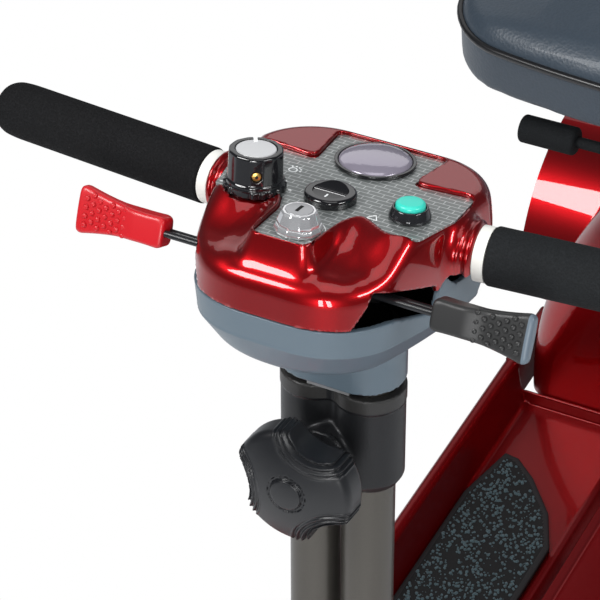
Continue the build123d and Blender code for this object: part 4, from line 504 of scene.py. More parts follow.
LOOKS: Dict[str, Look] = {
    "candy_red": Look((0.34, 0.0003, 0.003), 0.35, 0.9, 1.0, speck=0.10),
    "shell_grey": Look((0.085, 0.118, 0.145), 0.42, 0.0, 0.15, Grain.MOULDED, 0.04),
    "panel_silver": Look((0.30, 0.31, 0.31), 0.38, 0.55, 0.3),
    "black_plastic": Look((0.006, 0.006, 0.007), 0.12, 0.0, 0.6),
    "black_matte": Look((0.006, 0.0065, 0.008), 0.34, 0.0, 0.0, Grain.MOULDED, 0.2),
    # inner_black is the unpainted black inside of the shells; it is also painted shade on the key's slot
    # plate and on the knob screw's socket plug.
    "inner_black": Look((0.004, 0.004, 0.004), 0.8),
    # foam_black and foam_slate are one black foam: the right grip's darker copy is painted shade, the left
    # grip's lighter slate copy is painted light.
    "foam_black": Look((0.0035, 0.0035, 0.004), 0.85, 0.0, 0.0, Grain.FOAM, 0.8, specular=0.12),
    "foam_slate": Look((0.005, 0.0062, 0.0072), 0.8, 0.0, 0.0, Grain.FOAM, 0.7, specular=0.2),
    "brushed": Look((0.66, 0.66, 0.66), 0.38, 0.4),
    "chrome": Look((0.92, 0.92, 0.93), 0.12, 0.82),
    "steel": Look((0.50, 0.50, 0.51), 0.34, 0.7),
    "brass": Look((0.62, 0.38, 0.10), 0.28, 0.9),
    "tube_grey": Look((0.095, 0.088, 0.078), 0.33, 0.75, 0.0, Grain.NONE, 0.06),
    "collar_charcoal": Look((0.010, 0.0105, 0.012), 0.42, 0.35, 0.0, Grain.CAST, 0.25),
    "frame_black": Look((0.02, 0.02, 0.022), 0.4, 0.2, 0.2),
    "bush_white": Look((0.72, 0.71, 0.66), 0.45),
    "lens": Look((0.93, 0.92, 0.96), 0.03, 0.0, 1.0, transmission=0.85),
    "horn_cap": Look((0.03, 0.56, 0.44), 0.35, 0.0, 0.2),
    "horn_collar": Look((0.03, 0.03, 0.034), 0.12, 0.6, 0.8),
    "paddle_red": Look((0.46, 0.003, 0.008), 0.38, 0.0, 0.15, Grain.MOULDED, 0.05),
    "paddle_olive": Look((0.018, 0.018, 0.018), 0.42, 0.0, 0.0, Grain.MOULDED, 0.1),
    "paddle_tip": Look((0.10, 0.13, 0.16), 0.4),
    "tyre_grey": Look((0.05, 0.05, 0.052), 0.75, 0.0, 0.0, Grain.MOULDED, 0.2),
    "wheel_silver": Look((0.5, 0.5, 0.52), 0.35, 0.8, 0.3),
    "mat_black": Look((0.004, 0.0045, 0.005), 0.95),
    "mat_border": Look((0.008, 0.008, 0.009), 0.7),
    "lamp_clear": Look((0.9, 0.92, 0.95), 0.05, 0.0, 1.0, transmission=0.6),
    "battery_case": Look((0.03, 0.03, 0.033), 0.55, 0.0, 0.0, Grain.MOULDED, 0.1),
    "cast": Look((0.16, 0.16, 0.165), 0.55, 0.6, 0.0, Grain.CAST, 0.3),
    "vinyl": Look((0.035, 0.050, 0.068), 0.42, 0.0, 0.1, Grain.VINYL, 0.1),
    "piping": Look((0.008, 0.008, 0.009), 0.35, 0.0, 0.2),
    "warn_red": Look((0.5, 0.01, 0.01), 0.3, 0.0, 0.4),
    "pearl": Look((0.30, 0.27, 0.33), 0.14, 0.35, 1.0),
    "collar_worn": Look((0.028, 0.027, 0.026), 0.42, 0.3, 0.0, Grain.CAST, 0.3),
    "deck_red": Look((0.19, 0.0003, 0.002), 0.36, 0.7, 0.2, speck=0.05),
    "carpet_fleck": Look((0.034, 0.062, 0.072), 0.9, sheen=0.2),
    "print_white": Look((0.82, 0.83, 0.82), 0.5),
}


def wire(links: bpy.types.NodeLinks, *runs: Tuple[bpy.types.Node, object, bpy.types.Node, object]) -> None:
    """Links an output of one node to an input of another, run by run."""
    for start, leaving, end, entering in runs:
        links.new(start.outputs[leaving], end.inputs[entering])


def fill(node: bpy.types.Node, values: Dict[str, object]) -> None:
    """Sets the defaults of a node's inputs."""
    for label, value in values.items():
        node.inputs[label].default_value = value


def _group(name: str, inputs: Sequence[Tuple[str, float]],
           outputs: Sequence[Tuple[str, str]]) -> Tuple[bpy.types.NodeTree, bpy.types.Node, bpy.types.Node]:
    """Starts a shader group with float inputs and typed outputs.

    Args:
        name: Name of the group.
        inputs: Label and default of each input.
        outputs: Label and type of each output.

    Returns:
        The group with its input and output nodes.
    """
    tree = bpy.data.node_groups.new(name, "ShaderNodeTree")
    for label, value in inputs:
        socket = tree.interface.new_socket(label, in_out="INPUT", socket_type="NodeSocketFloat")
        socket.default_value = value
    for label, kind in outputs:
        tree.interface.new_socket(label, in_out="OUTPUT", socket_type=kind)
    return tree, tree.nodes.new("NodeGroupInput"), tree.nodes.new("NodeGroupOutput")


def grain_group() -> bpy.types.NodeTree:
    """Shared relief: a fine and a coarse noise mixed into a mask and a normal.

    Returns:
        The group.
    """
    tree, enter, leave = _group("SurfaceGrain", [("Scale", 900.0), ("Height", 0.1), ("Soft", 0.5)],
                                [("Mask", "NodeSocketFloat"), ("Normal", "NodeSocketVector")])
    nodes, links = tree.nodes, tree.links
    place = nodes.new("ShaderNodeTexCoord")
    fine = nodes.new("ShaderNodeTexNoise")
    fine.inputs["Detail"].default_value = 3.0
    coarse = nodes.new("ShaderNodeTexVoronoi")
    half = nodes.new("ShaderNodeMath")
    half.operation = "MULTIPLY"
    half.inputs[1].default_value = 0.55
    blend = nodes.new("ShaderNodeMix")
    bump = nodes.new("ShaderNodeBump")
    bump.inputs["Distance"].default_value = 0.001
    wire(links, (place, "Object", fine, "Vector"), (place, "Object", coarse, "Vector"),
                (enter, "Scale", fine, "Scale"), (enter, "Scale", half, 0), (half, 0, coarse, "Scale"),
                (enter, "Soft", blend, "Factor"), (fine, "Fac", blend, "A"),
                (coarse, "Distance", blend, "B"), (blend, "Result", bump, "Height"),
                (enter, "Height", bump, "Strength"), (blend, "Result", leave, "Mask"),
                (bump, "Normal", leave, "Normal"))
    return tree


def cells_group() -> bpy.types.NodeTree:
    """Shared print: long staggered cells with pale outlines, laid on the leaning panel.

    Returns:
        The group.
    """
    tree, enter, leave = _group("PanelCells", [("Scale", 1.0)], [("Line", "NodeSocketFloat")])
    nodes, links = tree.nodes, tree.links
    place = nodes.new("ShaderNodeTexCoord")
    turn = nodes.new("ShaderNodeMapping")
    turn.inputs["Rotation"].default_value = (math.radians(HEAD.lean), 0, 0)
    bricks = nodes.new("ShaderNodeTexBrick")
    fill(bricks, {"Scale": 1.0, "Mortar Size": 0.00034, "Mortar Smooth": 0.6, "Brick Width": 0.0100,
                  "Row Height": 0.0042})
    wire(links, (place, "Object", turn, "Vector"), (turn, "Vector", bricks, "Vector"),
                (bricks, "Fac", leave, "Line"))
    return tree


GROUPS: Dict[str, bpy.types.NodeTree] = {}
MATERIALS: Dict[str, bpy.types.Material] = {}
GRAINS: Dict[Grain, Tuple[float, float, float]] = {
    Grain.FOAM: (1500.0, 0.55, 0.5),
    Grain.MOULDED: (2600.0, 0.05, 0.2),
    Grain.VINYL: (700.0, 0.25, 0.8),
    Grain.CAST: (1500.0, 0.14, 0.3),
    Grain.NONE: (900.0, 0.0, 0.2),
}


def material(name: str) -> bpy.types.Material:
    """Finds the finish of a name, building it on first use.

    Args:
        name: Key in LOOKS.

    Returns:
        The material.
    """
    if name in MATERIALS:
        return MATERIALS[name]
    look = LOOKS[name]
    made = bpy.data.materials.new(name)
    made.use_nodes = True
    nodes, links = made.node_tree.nodes, made.node_tree.links
    body = nodes["Principled BSDF"]
    fill(body, {"Base Color": (*look.colour, 1), "Roughness": look.rough, "Metallic": look.metal,
                "Coat Weight": look.coat, "Coat Roughness": 0.03, "Transmission Weight": look.transmission,
                "Sheen Weight": look.sheen, "Specular IOR Level": look.specular})
    if look.grain is not Grain.NONE or look.speck:
        if "grain" not in GROUPS:
            GROUPS["grain"] = grain_group()
        scale, height, soft = GRAINS[look.grain]
        relief = nodes.new("ShaderNodeGroup")
        relief.node_tree = GROUPS["grain"]
        fill(relief, {"Scale": scale, "Height": height, "Soft": soft})
        if look.grain is not Grain.NONE:
            links.new(relief.outputs["Normal"], body.inputs["Normal"])
        if look.speck:
            ramp = nodes.new("ShaderNodeMix")
            ramp.data_type = "RGBA"
            ramp.inputs["A"].default_value = (*[c * (1 - look.speck) for c in look.colour], 1)
            ramp.inputs["B"].default_value = (*[min(1, c * (1 + look.speck) + 0.01 * look.speck)
                                                for c in look.colour], 1)
            links.new(relief.outputs["Mask"], ramp.inputs["Factor"])
            links.new(ramp.outputs["Result"], body.inputs["Base Color"])
    if name == "panel_silver":
        GROUPS["cells"] = cells_group()
        cells = nodes.new("ShaderNodeGroup")
        cells.node_tree = GROUPS["cells"]
        mix = nodes.new("ShaderNodeMix")
        mix.data_type = "RGBA"
        mix.inputs["A"].default_value = (0.20, 0.215, 0.21, 1)
        mix.inputs["B"].default_value = (0.58, 0.60, 0.59, 1)
        links.new(cells.outputs["Line"], mix.inputs["Factor"])
        links.new(mix.outputs["Result"], body.inputs["Base Color"])
    MATERIALS[name] = made
    return made


# ------------------------------------------------------------------ tiller head
# Right half of the panel's outline, in the head's plane.
PANEL_HALF = [(0, 67), (38, 67), (33, 25), (74, 29), (76, -4), (69, -38), (52, -45), (27, -29), (20, -46),
              (18, -84), (0, -84)]
PANEL = PANEL_HALF + [(-x, y) for x, y in reversed(PANEL_HALF[1:-1])]
# Where the flanks start to taper, how steeply, the factor that keeps the distance true, and the rear corners.
TAPER_START, TAPER, TAPER_SCALE, REAR_ROUND = -8, 0.31, 0.955, 50
# Centre of the speed knob, and the side of it that carries the set screw.
KNOB = (-46.0, -30.0)
NEAR = (0.52, -0.854)


def panel_distance(x: Array, y: Array, corner: float = 6.0) -> Array:
    """Distance to the panel's outline with its corners and notches rounded."""
    turns = [(corner * k / 2 * math.cos(a), corner * k / 2 * math.sin(a)) for k in (1, 2)
             for a in np.linspace(0, 2 * math.pi, 9)[:-1]]
    return sum(polygon(x + dx, y + dy, PANEL) for dx, dy in [(0.0, 0.0)] + turns) / 17


def wedge_plan(x: Array, y: Array, half: Number, front: Number, rear: Number, radius: float,
               ease: float = 22.0) -> Array:
    """Distance to a plan that is parallel behind the bar and tapers to a blunt nose in front.

    Args:
        x, y: Coordinates in the head's frame.
        half: Half width behind the bar.
        front, rear: Ends of the plan.
        radius: Rounding of the nose.
        ease: Rounding where the taper starts.

    Returns:
        Signed distances in millimetres, negative inside.
    """
    ax = np.abs(x)
    flank = smax(ax - half, ((ax - half) + (TAPER_START - y) * TAPER) * TAPER_SCALE, ease)
    nose = smax(flank, front - y, radius)
    corner = hypot(np.maximum(ax - half + REAR_ROUND, 0), np.maximum(y - rear + REAR_ROUND, 0)) - REAR_ROUND
    return np.maximum(nose, corner)


@dataclass(frozen=True)
class HeadForm:
    """Outer form of the tiller head, shared by its two shells.

    Args:
        half: Half width behind the bar.
        front, rear: Ends of the plan.
        nose: Rounding between the flanks and the blunt nose.
        drop: Fall from the panel to the ledge in front of it.
        seam_height: Height at which the shells meet in front.
        wall: Thickness of the mouldings.
    """

    half: float = 83.5
    front: float = -100.0
    rear: float = 77.0
    nose: float = 40.0
    drop: float = 18.5
    seam_height: float = -44.5
    wall: float = 3.4

    def top(self, x: Array, y: Array) -> Array:
        """Height of the upper surface: flat round the panel, falling to a ledge in front.

        Args:
            x, y: Coordinates in the head's frame.

        Returns:
            Heights in millimetres.
        """
        beyond = panel_distance(x, y) - 2.0
        lobe = step(-y, 44, 62) * (1 - step(np.abs(x), 22, 40))
        reach = 24 - 14 * lobe
        near = step(-y, 22, 80)
        fall = 1 - (1 - np.clip(beyond / reach, 0, 1)) ** 2.4
        return 3.0 - self.drop * near * fall - 0.06 * np.maximum(-y - 74, 0)

    def side(self, x: Array, y: Array, z: Array) -> Array:
        """Distance to the side wall, which draws in towards the top."""
        draw = 4.5 * np.clip((z + 30) / 33, 0, 1.4) ** 2
        return wedge_plan(x, y, self.half, self.front, self.rear, self.nose) + draw

    def outer(self, p: Array) -> Array:
        """Distance to the closed outer form.

        Args:
            p: Points in the local frame.

        Returns:
            Signed distances in millimetres, negative inside.
        """
        x, y, z = split(p)
        round_ = 8 + 3 * step(-y, 40, 80)
        return smax(self.side(x, y, z), (z - self.top(x, y)) * 0.85, round_)

    def seam(self, x: Array, y: Array) -> Array:
        """Height at which the shells meet; it climbs behind the lever slots to the bar."""
        return self.seam_height + 15 * step(y, -26, -6)

    def slots(self, p: Array, low: float = -12.0) -> Array:
        """Mouths in the flanks that let the lever swing, pointed at their front ends.

        Args:
            p: Points in the local frame.
            low: Foot of the mouth, in the lever's frame.

        Returns:
            Signed distances in millimetres, negative inside.
        """
        q = LEVER.local(HEAD.world(p))
        x, y, z = split(p)
        lid = smax(q[..., 2] - 6.0, (z - self.seam_height - (y + 86) * 2.1) * 0.43, 3)
        mouth = smax(smax(lid, low - q[..., 2], 2), y + 20, 5)
        return smax(np.maximum(mouth, -86 - y), 24 - np.abs(x), 3)


# ------------------------------------------------------------------ Geometry Nodes
def scatter_modifier(name: str, items: Sequence[Tuple[str, object]],
                     build: Callable) -> Tuple[bpy.types.NodeTree, Dict[str, str]]:
    """Starts a geometry tree with named inputs and returns it with their identifiers.

    Args:
        name: Name of the tree.
        items: Name and default of each input; a float, an int, an object or a material.
        build: Called with (tree, input node); makes the socket that holds the geometry.

    Returns:
        The tree, and the identifier of each input.
    """
    tree = bpy.data.node_groups.new(name, "GeometryNodeTree")
    tree.interface.new_socket("Geometry", in_out="INPUT", socket_type="NodeSocketGeometry")
    tree.interface.new_socket("Geometry", in_out="OUTPUT", socket_type="NodeSocketGeometry")
    kinds = {float: "NodeSocketFloat", int: "NodeSocketInt", bpy.types.Object: "NodeSocketObject",
             bpy.types.Material: "NodeSocketMaterial"}
    sockets: Dict[str, str] = {}
    for label, value in items:
        kind = next(k for t, k in kinds.items() if isinstance(value, t))
        socket = tree.interface.new_socket(label, in_out="INPUT", socket_type=kind)
        sockets[label] = socket.identifier
    enter, leave = tree.nodes.new("NodeGroupInput"), tree.nodes.new("NodeGroupOutput")
    tree.links.new(build(tree, enter), leave.inputs["Geometry"])
    return tree, sockets


def evaluated(thing: bpy.types.Object) -> bpy.types.Mesh:
    """A plain mesh of an object as its modifiers leave it."""
    return bpy.data.meshes.new_from_object(thing.evaluated_get(bpy.context.evaluated_depsgraph_get()))


def baked(name: str, host: bpy.types.Object, tree: bpy.types.NodeTree, sockets: Dict[str, str],
          values: Sequence[Tuple[str, object]]) -> bpy.types.Object:
    """Runs a geometry tree on a host and keeps only the plain mesh it makes.

    Args:
        name: Name of the finished object.
        host: Object that carries the tree; it is used up.
        tree: Geometry tree.
        sockets: Identifier of each input.
        values: Name and value of each input.

    Returns:
        The new object.
    """
    modifier = host.modifiers.new(name, "NODES")
    modifier.node_group = tree
    for label, value in values:
        modifier[sockets[label]] = value
    data = evaluated(host)
    data.name = name
    bpy.data.objects.remove(host)
    thing = link(name, data)
    log.info("%s: scattered, %d faces", name, len(data.polygons))
    return thing


@dataclass
class Scatter:
    """Copies of one small solid on chosen spots.

    Args:
        name: Name of the finished object.
        unit: Small solid, modelled round the origin with Z outward; it is used up.
        spots: Scooter millimetres of the copies.
        normals: Direction each copy stands in.
        finish: Finish of the copies.
        least, most: Range of their sizes.
        seed: Seed of the sizes.
    """

    name: str
    unit: bpy.types.Object
    spots: Array
    normals: Array
    finish: str
    least: float = 1.0
    most: float = 1.0
    seed: int = 7

    def build(self) -> bpy.types.Object:
        """Places the copies and keeps them as one plain mesh.

        Returns:
            The new object.
        """
        data = bpy.data.meshes.new(self.name + "_spots")
        count = len(self.spots)
        points = np.repeat(np.asarray(self.spots, float), 3, axis=0)
        normal = np.asarray(self.normals, float)
        side = np.cross(normal, np.array([0.31, 0.17, 0.93]))
        side /= np.linalg.norm(side, axis=1)[:, None]
        other = np.cross(normal, side)
        for corner, angle in enumerate((0.0, 2.0944, 4.18879)):
            points[corner::3] += 1e-3 * (side * math.cos(angle) + other * math.sin(angle))
        faces = np.arange(3 * count).reshape(-1, 3)
        data.from_pydata((points * MM).tolist(), [], faces.tolist())
        data.update()
        host = link(self.name + "_spots", data)
        tree, sockets = scatter_modifier(
            self.name, [("Unit", self.unit), ("Least", 1.0), ("Most", 1.0), ("Seed", 0),
                        ("Finish", material(self.finish))], copies_on_faces)
        thing = baked(self.name, host, tree, sockets,
                      [("Unit", self.unit), ("Least", self.least), ("Most", self.most), ("Seed", self.seed),
                       ("Finish", material(self.finish))])
        bpy.data.objects.remove(self.unit)
        return thing


def copies_on_faces(tree: bpy.types.NodeTree, enter: bpy.types.Node) -> bpy.types.NodeSocket:
    """Places one copy of the unit on each host face, and paints them.

    Args:
        tree: Geometry tree.
        enter: Its input node.

    Returns:
        The socket that holds the geometry.
    """
    nodes, links = tree.nodes, tree.links
    dots = nodes.new("GeometryNodeMeshToPoints")
    dots.mode = "FACES"
    unit = nodes.new("GeometryNodeObjectInfo")
    place = nodes.new("GeometryNodeInstanceOnPoints")
    turn = nodes.new("FunctionNodeAlignRotationToVector")
    turn.axis = "Z"
    normal = nodes.new("GeometryNodeInputNormal")
    keep = nodes.new("GeometryNodeCaptureAttribute")
    keep.capture_items.new("VECTOR", "Out")
    keep.domain = "FACE"
    spread = nodes.new("FunctionNodeRandomValue")
    spread.data_type = "FLOAT"
    flat = nodes.new("GeometryNodeRealizeInstances")
    paint = nodes.new("GeometryNodeSetMaterial")
    wire(links, (enter, "Geometry", keep, "Geometry"), (normal, "Normal", keep, "Out"),
                (keep, "Geometry", dots, "Mesh"), (enter, "Unit", unit, "Object"),
                (dots, "Points", place, "Points"), (unit, "Geometry", place, "Instance"),
                (keep, "Out", turn, "Vector"), (turn, "Rotation", place, "Rotation"),
                (enter, "Least", spread, 2), (enter, "Most", spread, 3), (enter, "Seed", spread, "Seed"),
                (spread, 1, place, "Scale"), (place, "Instances", flat, "Geometry"),
                (flat, "Geometry", paint, "Geometry"), (enter, "Finish", paint, "Material"))
    return paint.outputs["Geometry"]


def stud(name: str, profile: Sequence[Tuple[float, float]], segments: int = 12) -> bpy.types.Object:
    """A small turned unit round the origin, in millimetres, for scattering."""
    return Lathe(name, profile, ROOT, rounding=0.15, segments=segments).build(material("steel"))


# ------------------------------------------------------------------ sub-assemblies
def joined(name: str, parts: Sequence[bpy.types.Object]) -> bpy.types.Object:
    """Joins objects into one, keeping their finishes.

    Args:
        name: Name of the whole.
        parts: Objects to join; the first is kept.

    Returns:
        The joined object.
    """
    bpy.ops.object.select_all(action="DESELECT")
    for part in parts:
        part.select_set(True)
    bpy.context.view_layer.objects.active = parts[0]
    if len(parts) > 1:
        bpy.ops.object.join()
    parts[0].name = name
    return parts[0]


def plate(name: str, corners: Sequence[Tuple[float, float]], low: float, high: float, frame_: Frame,
          finish: str) -> bpy.types.Object:
    """A flat prism of a closed outline, in a frame's millimetres.

    Args:
        name: Object name.
        corners: Outline, counter-clockwise.
        low, high: Heights of its faces.
        frame_: Frame of the outline.
        finish: Key in LOOKS.

    Returns:
        The new object.
    """
    n = len(corners)
    points = [(x, y, z) for z in (low, high) for x, y in corners]
    faces = [list(range(n))[::-1], list(range(n, 2 * n))]
    faces += [[i, (i + 1) % n, n + (i + 1) % n, n + i] for i in range(n)]
    return from_arrays(name, frame_.world(np.array(points, float)), faces, material(finish), smooth=False)


def ring_plate(name: str, centre: Tuple[float, float], outer: float, inner: float, low: float, high: float,
               frame_: Frame, finish: str, start: float = 0.0, sweep: float = 360.0) -> bpy.types.Object:
    """A flat ring or an arc of one, in a frame's millimetres.

    Args:
        name: Object name.
        centre: Centre of the ring.
        outer, inner: Its radii.
        low, high: Heights of its faces.
        frame_: Frame of the ring.
        finish: Key in LOOKS.
        start, sweep: Where the arc starts and how far it goes, in degrees.

    Returns:
        The new object.
    """
    steps = max(8, int(sweep / 6))
    closed = sweep >= 360
    angles = [math.radians(start + sweep * i / steps) for i in range(steps if closed else steps + 1)]
    rows = [(outer, low), (outer, high), (inner, high), (inner, low)]
    points = [(centre[0] + r * math.cos(a), centre[1] + r * math.sin(a), z) for a in angles for r, z in rows]
    faces = []
    last = len(angles) if closed else len(angles) - 1
    for i in range(last):
        j = (i + 1) % len(angles)
        faces += [[4 * i + k, 4 * j + k, 4 * j + (k + 1) % 4, 4 * i + (k + 1) % 4] for k in range(4)]
    if not closed:
        faces += [[0, 1, 2, 3], [4 * last + 3, 4 * last + 2, 4 * last + 1, 4 * last]]
    return from_arrays(name, frame_.world(np.array(points, float)), faces, material(finish), smooth=False)


@dataclass
class TillerHead:
    """The two shells of the tiller head with its grips.

    Args:
        form: Outer form of the shells.
        pitch: Cell size of the upper shell's mesh.
        grip: Half profile of a foam grip, from its inner end outwards.
    """

    form: HeadForm = HeadForm()
    pitch: float = 1.5
    grip: Tuple[Point2, ...] = ((0, 17.2), (17.4, 17.2), (18.4, 18.4), (18.4, 166), (17.6, 175), (14.5, 181),
                                (8.5, 184), (0, 184.4))

    def upper(self, p: Array) -> Array:
        """The painted upper shell: hollow, with its bosses, slots and panel recess.

        Args:
            p: Points in the local frame.

        Returns:
            Signed distances in millimetres, negative inside.
        """
        x, y, z = split(p)
        outer = self.form.outer(p)
        roof = -7.5 - 22.0 * step(-y, 6, 46)
        hollow = smax(self.form.side(x, y, z) + self.form.wall + 1.0, (z - roof) * 0.85, 6)
        for side in (-1, 1):
            ring, along = bar_distance(p, side)
            flare = 19.0 + 1.0 * np.cos((along - 6.6) * 2 * math.pi / 7.0) * step(along, -1, 2)
            boss = smax(ring - flare, np.abs(along + 6) - 15.5, 2)
            outer = smin(outer, boss, 8)
        shell = smax(outer, -hollow, 1.0)
        shell = smax(shell, self.form.seam(x, y) - z, 0.8)
        recess = np.minimum(panel_distance(x, y) - 0.6, hypot(x - KNOB[0], y - KNOB[1]) - 19.6)
        shell = smax(shell, -np.maximum(recess, -1.2 - z), 0.9)
        shell = smax(shell, -self.form.slots(p, -30.0), 1.2)
        return self.bored(shell, p, 12.9, 12)

    def bowl(self, p: Array) -> Array:
        """Outer form of the lower shell: a bowl with a crease, drawn in to the neck.

        Args:
            p: Points in the local frame.

        Returns:
            Signed distances in millimetres, negative inside.
        """
        x, y, z = split(p)
        first = np.clip((self.form.seam_height - z) / 18, 0, 1)
        second = np.clip((-64 - z) / 24, 0, 1.3)
        half = self.form.half - 2.0 * first - 15 * second
        front = self.form.front + 3 * first + 15 * second
        rear = self.form.rear - 9 * first - 40 * second
        bowl = wedge_plan(x, y, half, front, rear, self.form.nose) * 0.84
        bowl = smax(bowl, (-88 - z) * 0.9, 8)
        q = COLUMN.local(HEAD.world(p))
        flare = 6.0 * step(q[..., 2], -112, -70)
        neck = plan_box(q[..., 0], q[..., 1], 42 + flare, -26 - flare, 26 + flare, 25, 25) * 0.95
        neck = np.maximum(neck, np.maximum(-132 - q[..., 2], q[..., 2] + 60))
        return smin(bowl, neck, 12)

    def lower(self, p: Array) -> Array:
        """The grey lower shell, hollow and open at its foot.

        Args:
            p: Points in the local frame.

        Returns:
            Signed distances in millimetres, negative inside.
        """
        x, y, z = split(p)
        outer = self.bowl(p)
        q = COLUMN.local(HEAD.world(p))
        passage = plan_box(q[..., 0], q[..., 1], 37.6, -21.6, 21.6, 20.6, 20.6)
        shell = smax(outer, -(outer + self.form.wall), 1.0)
        shell = np.maximum(shell, -np.maximum(passage, z + 66))
        shell = smax(shell, z - (self.form.seam(x, y) - 0.3), 0.8)
        shell = smax(shell, -132 - q[..., 2], 0.8)
        shell = smax(shell, -self.form.slots(p), 1.6)
        return self.bored(shell, p, 20.6, 8)

    @staticmethod
    def bored(shell: Array, p: Array, radius: float, reach: float) -> Array:
        """Cuts the two bores for the handlebar.

        Args:
            shell: Distances of the shell.
            p: Points in the local frame.
            radius: Radius of the bores.
            reach: How far inside the bends they start.

        Returns:
            Distances of the bored shell.
        """
        for side in (-1, 1):
            ring, along = bar_distance(p, side)
            shell = np.maximum(shell, -np.maximum(ring - radius, -along - reach))
        return shell

    def build(self) -> None:
        """Makes the shells and the grips."""

        def inside_red(centre: Array, _: Array) -> Array:
            """Faces of the upper shell that lie behind its painted skin."""
            depth = self.form.outer(centre)
            return (depth < -3.0) & (np.abs(centre[:, 0]) < 80) & (centre[:, 2] < -4.0)

        upper = Sculpt("upper_shell", self.upper, (-96, -101, -49), (96, 80, 7), self.pitch, HEAD).build(
            [material("candy_red"), material("inner_black")], inside_red)
        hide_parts("head_upper_shell")
        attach(upper, "head")
        lower = Sculpt("lower_shell", self.lower, (-88, -101, -152), (88, 80, -26), self.pitch * 1.15,
                       HEAD).build([material("shell_grey"), material("inner_black")],
                                   lambda c, n: self.bowl(c) < -2.7)
        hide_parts("head_lower_shell")
        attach(lower, "head")
        # Both grips are the same foam: the right one takes the darker copy as painted shade, the left the
        # lighter slate copy as painted light.
        for side, word, finish in ((-1, "right", "foam_black"), (1, "left", "foam_slate")):
            at = HEAD.shifted(*bar_bend(side))
            grip = Lathe(f"foam_grip_{word}", self.grip, at, tuple(bar_direction(side)), 4.0, 128).build(
                material(finish))
            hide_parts(f"grip_{word}")
            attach(grip, "head")


@dataclass
class SpeedKnob:
    """Faceted knob with a scalloped skirt, an aluminium disc and a pointer line.

    Args:
        facets: Number of flats.
        height: Height above the panel.
        radius: Distance of a flat from the axis, at the foot.
        skirt: Radius of the scalloped skirt.
        scallops: Number of waves round the skirt.
        disc: Radius of the disc on top.
        screw_height: Height of the set screw.
    """

    facets: int = 12
    height: float = 26.0
    radius: float = 17.3
    skirt: float = 19.4
    scallops: int = 20
    disc: float = 12.5
    screw_height: float = 14

    def solid(self, p: Array) -> Array:
        """The knob's body, with its recess for the disc and the hole for the screw.

        Args:
            p: Points in the local frame.

        Returns:
            Signed distances in millimetres, negative inside.
        """
        x, y, z = split(p)
        radius = hypot(x, y)
        angle = np.arctan2(y, x)
        wedge = 2 * math.pi / self.facets
        folded = np.abs((angle + wedge / 2) % wedge - wedge / 2)
        facet = radius * np.cos(folded) - (self.radius - 0.03 * z)
        body = smax(smax(facet, radius - (17.7 - 0.03 * z), 0.8), z - self.height, 1.6)
        ledge = smax(radius - 17.9, z - 7.6, 1.0)
        skirt = smax(radius - self.skirt + 1.0 * (0.5 + 0.5 * np.cos(angle * self.scallops)), z - 4.8, 1.2)
        front = np.maximum(np.abs(angle + math.pi / 2) * radius - 6.5, np.abs(z - 1.5) - 3.0)
        skirt = smax(skirt, -np.maximum(front, 15.6 - radius), 1.0)
        solid = smin(smin(body, ledge, 0.8), skirt, 0.8)
        solid = np.maximum(solid, -np.maximum(radius - 12.9, self.height - 1.9 - z))
        near = hypot(x * NEAR[1] - y * NEAR[0], z - self.screw_height)
        solid = smax(solid, -np.maximum(near - 3.3, 14.6 - x * NEAR[0] - y * NEAR[1]), 0.5)
        return np.maximum(solid, 0.3 - z)

    def build(self) -> None:
        """Makes the knob with its pointer, screw and disc."""
        at, top = HEAD.shifted(KNOB[0], KNOB[1]), self.height
        knob = Sculpt("speed_knob_body", self.solid, (-20, -20, 0), (20, 20, 27), 0.6, at).build(
            [material("black_plastic")])
        far = [(-NEAR[0] * v - NEAR[1] * u, -NEAR[1] * v + NEAR[0] * u) for u, v in
               ((-1.2, 9.0), (1.2, 9.0), (1.2, 16.4), (-1.2, 16.4))]
        pointer = plate("pointer", far[::-1], top - 0.2, top + 0.2, at, "print_white")
        place = at.shifted(z=self.screw_height)
        screw = Lathe("knob_screw", [(0, 12.0), (2.9, 12.0), (2.9, 15.4), (0, 15.9)], place,
                      (*NEAR, 0.0), 0.3, 32).build(material("brass"))
        # The screw's socket is not cut: a small black plug on its head is painted shade where the socket is.
        slot = Lathe("knob_screw_slot", [(0, 15.2), (1.1, 15.2), (1.1, 16.05), (0, 16.05)], place,
                     (*NEAR, 0.0), 0.1, 6).build(material("inner_black"))
        knob = joined("speed_knob_body", [knob, pointer, screw, slot])
        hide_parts("speed_knob")
        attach(knob, "knob")
        rim = self.disc
        disc = Lathe("knob_disc", [(0, top - 2.2), (rim, top - 2.2), (rim, top - 0.5), (rim - 0.7, top),
                                   (0, top)], at, rounding=0.2).build(material("brushed"))
        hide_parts("speed_knob_cap")
        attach(disc, "knob")


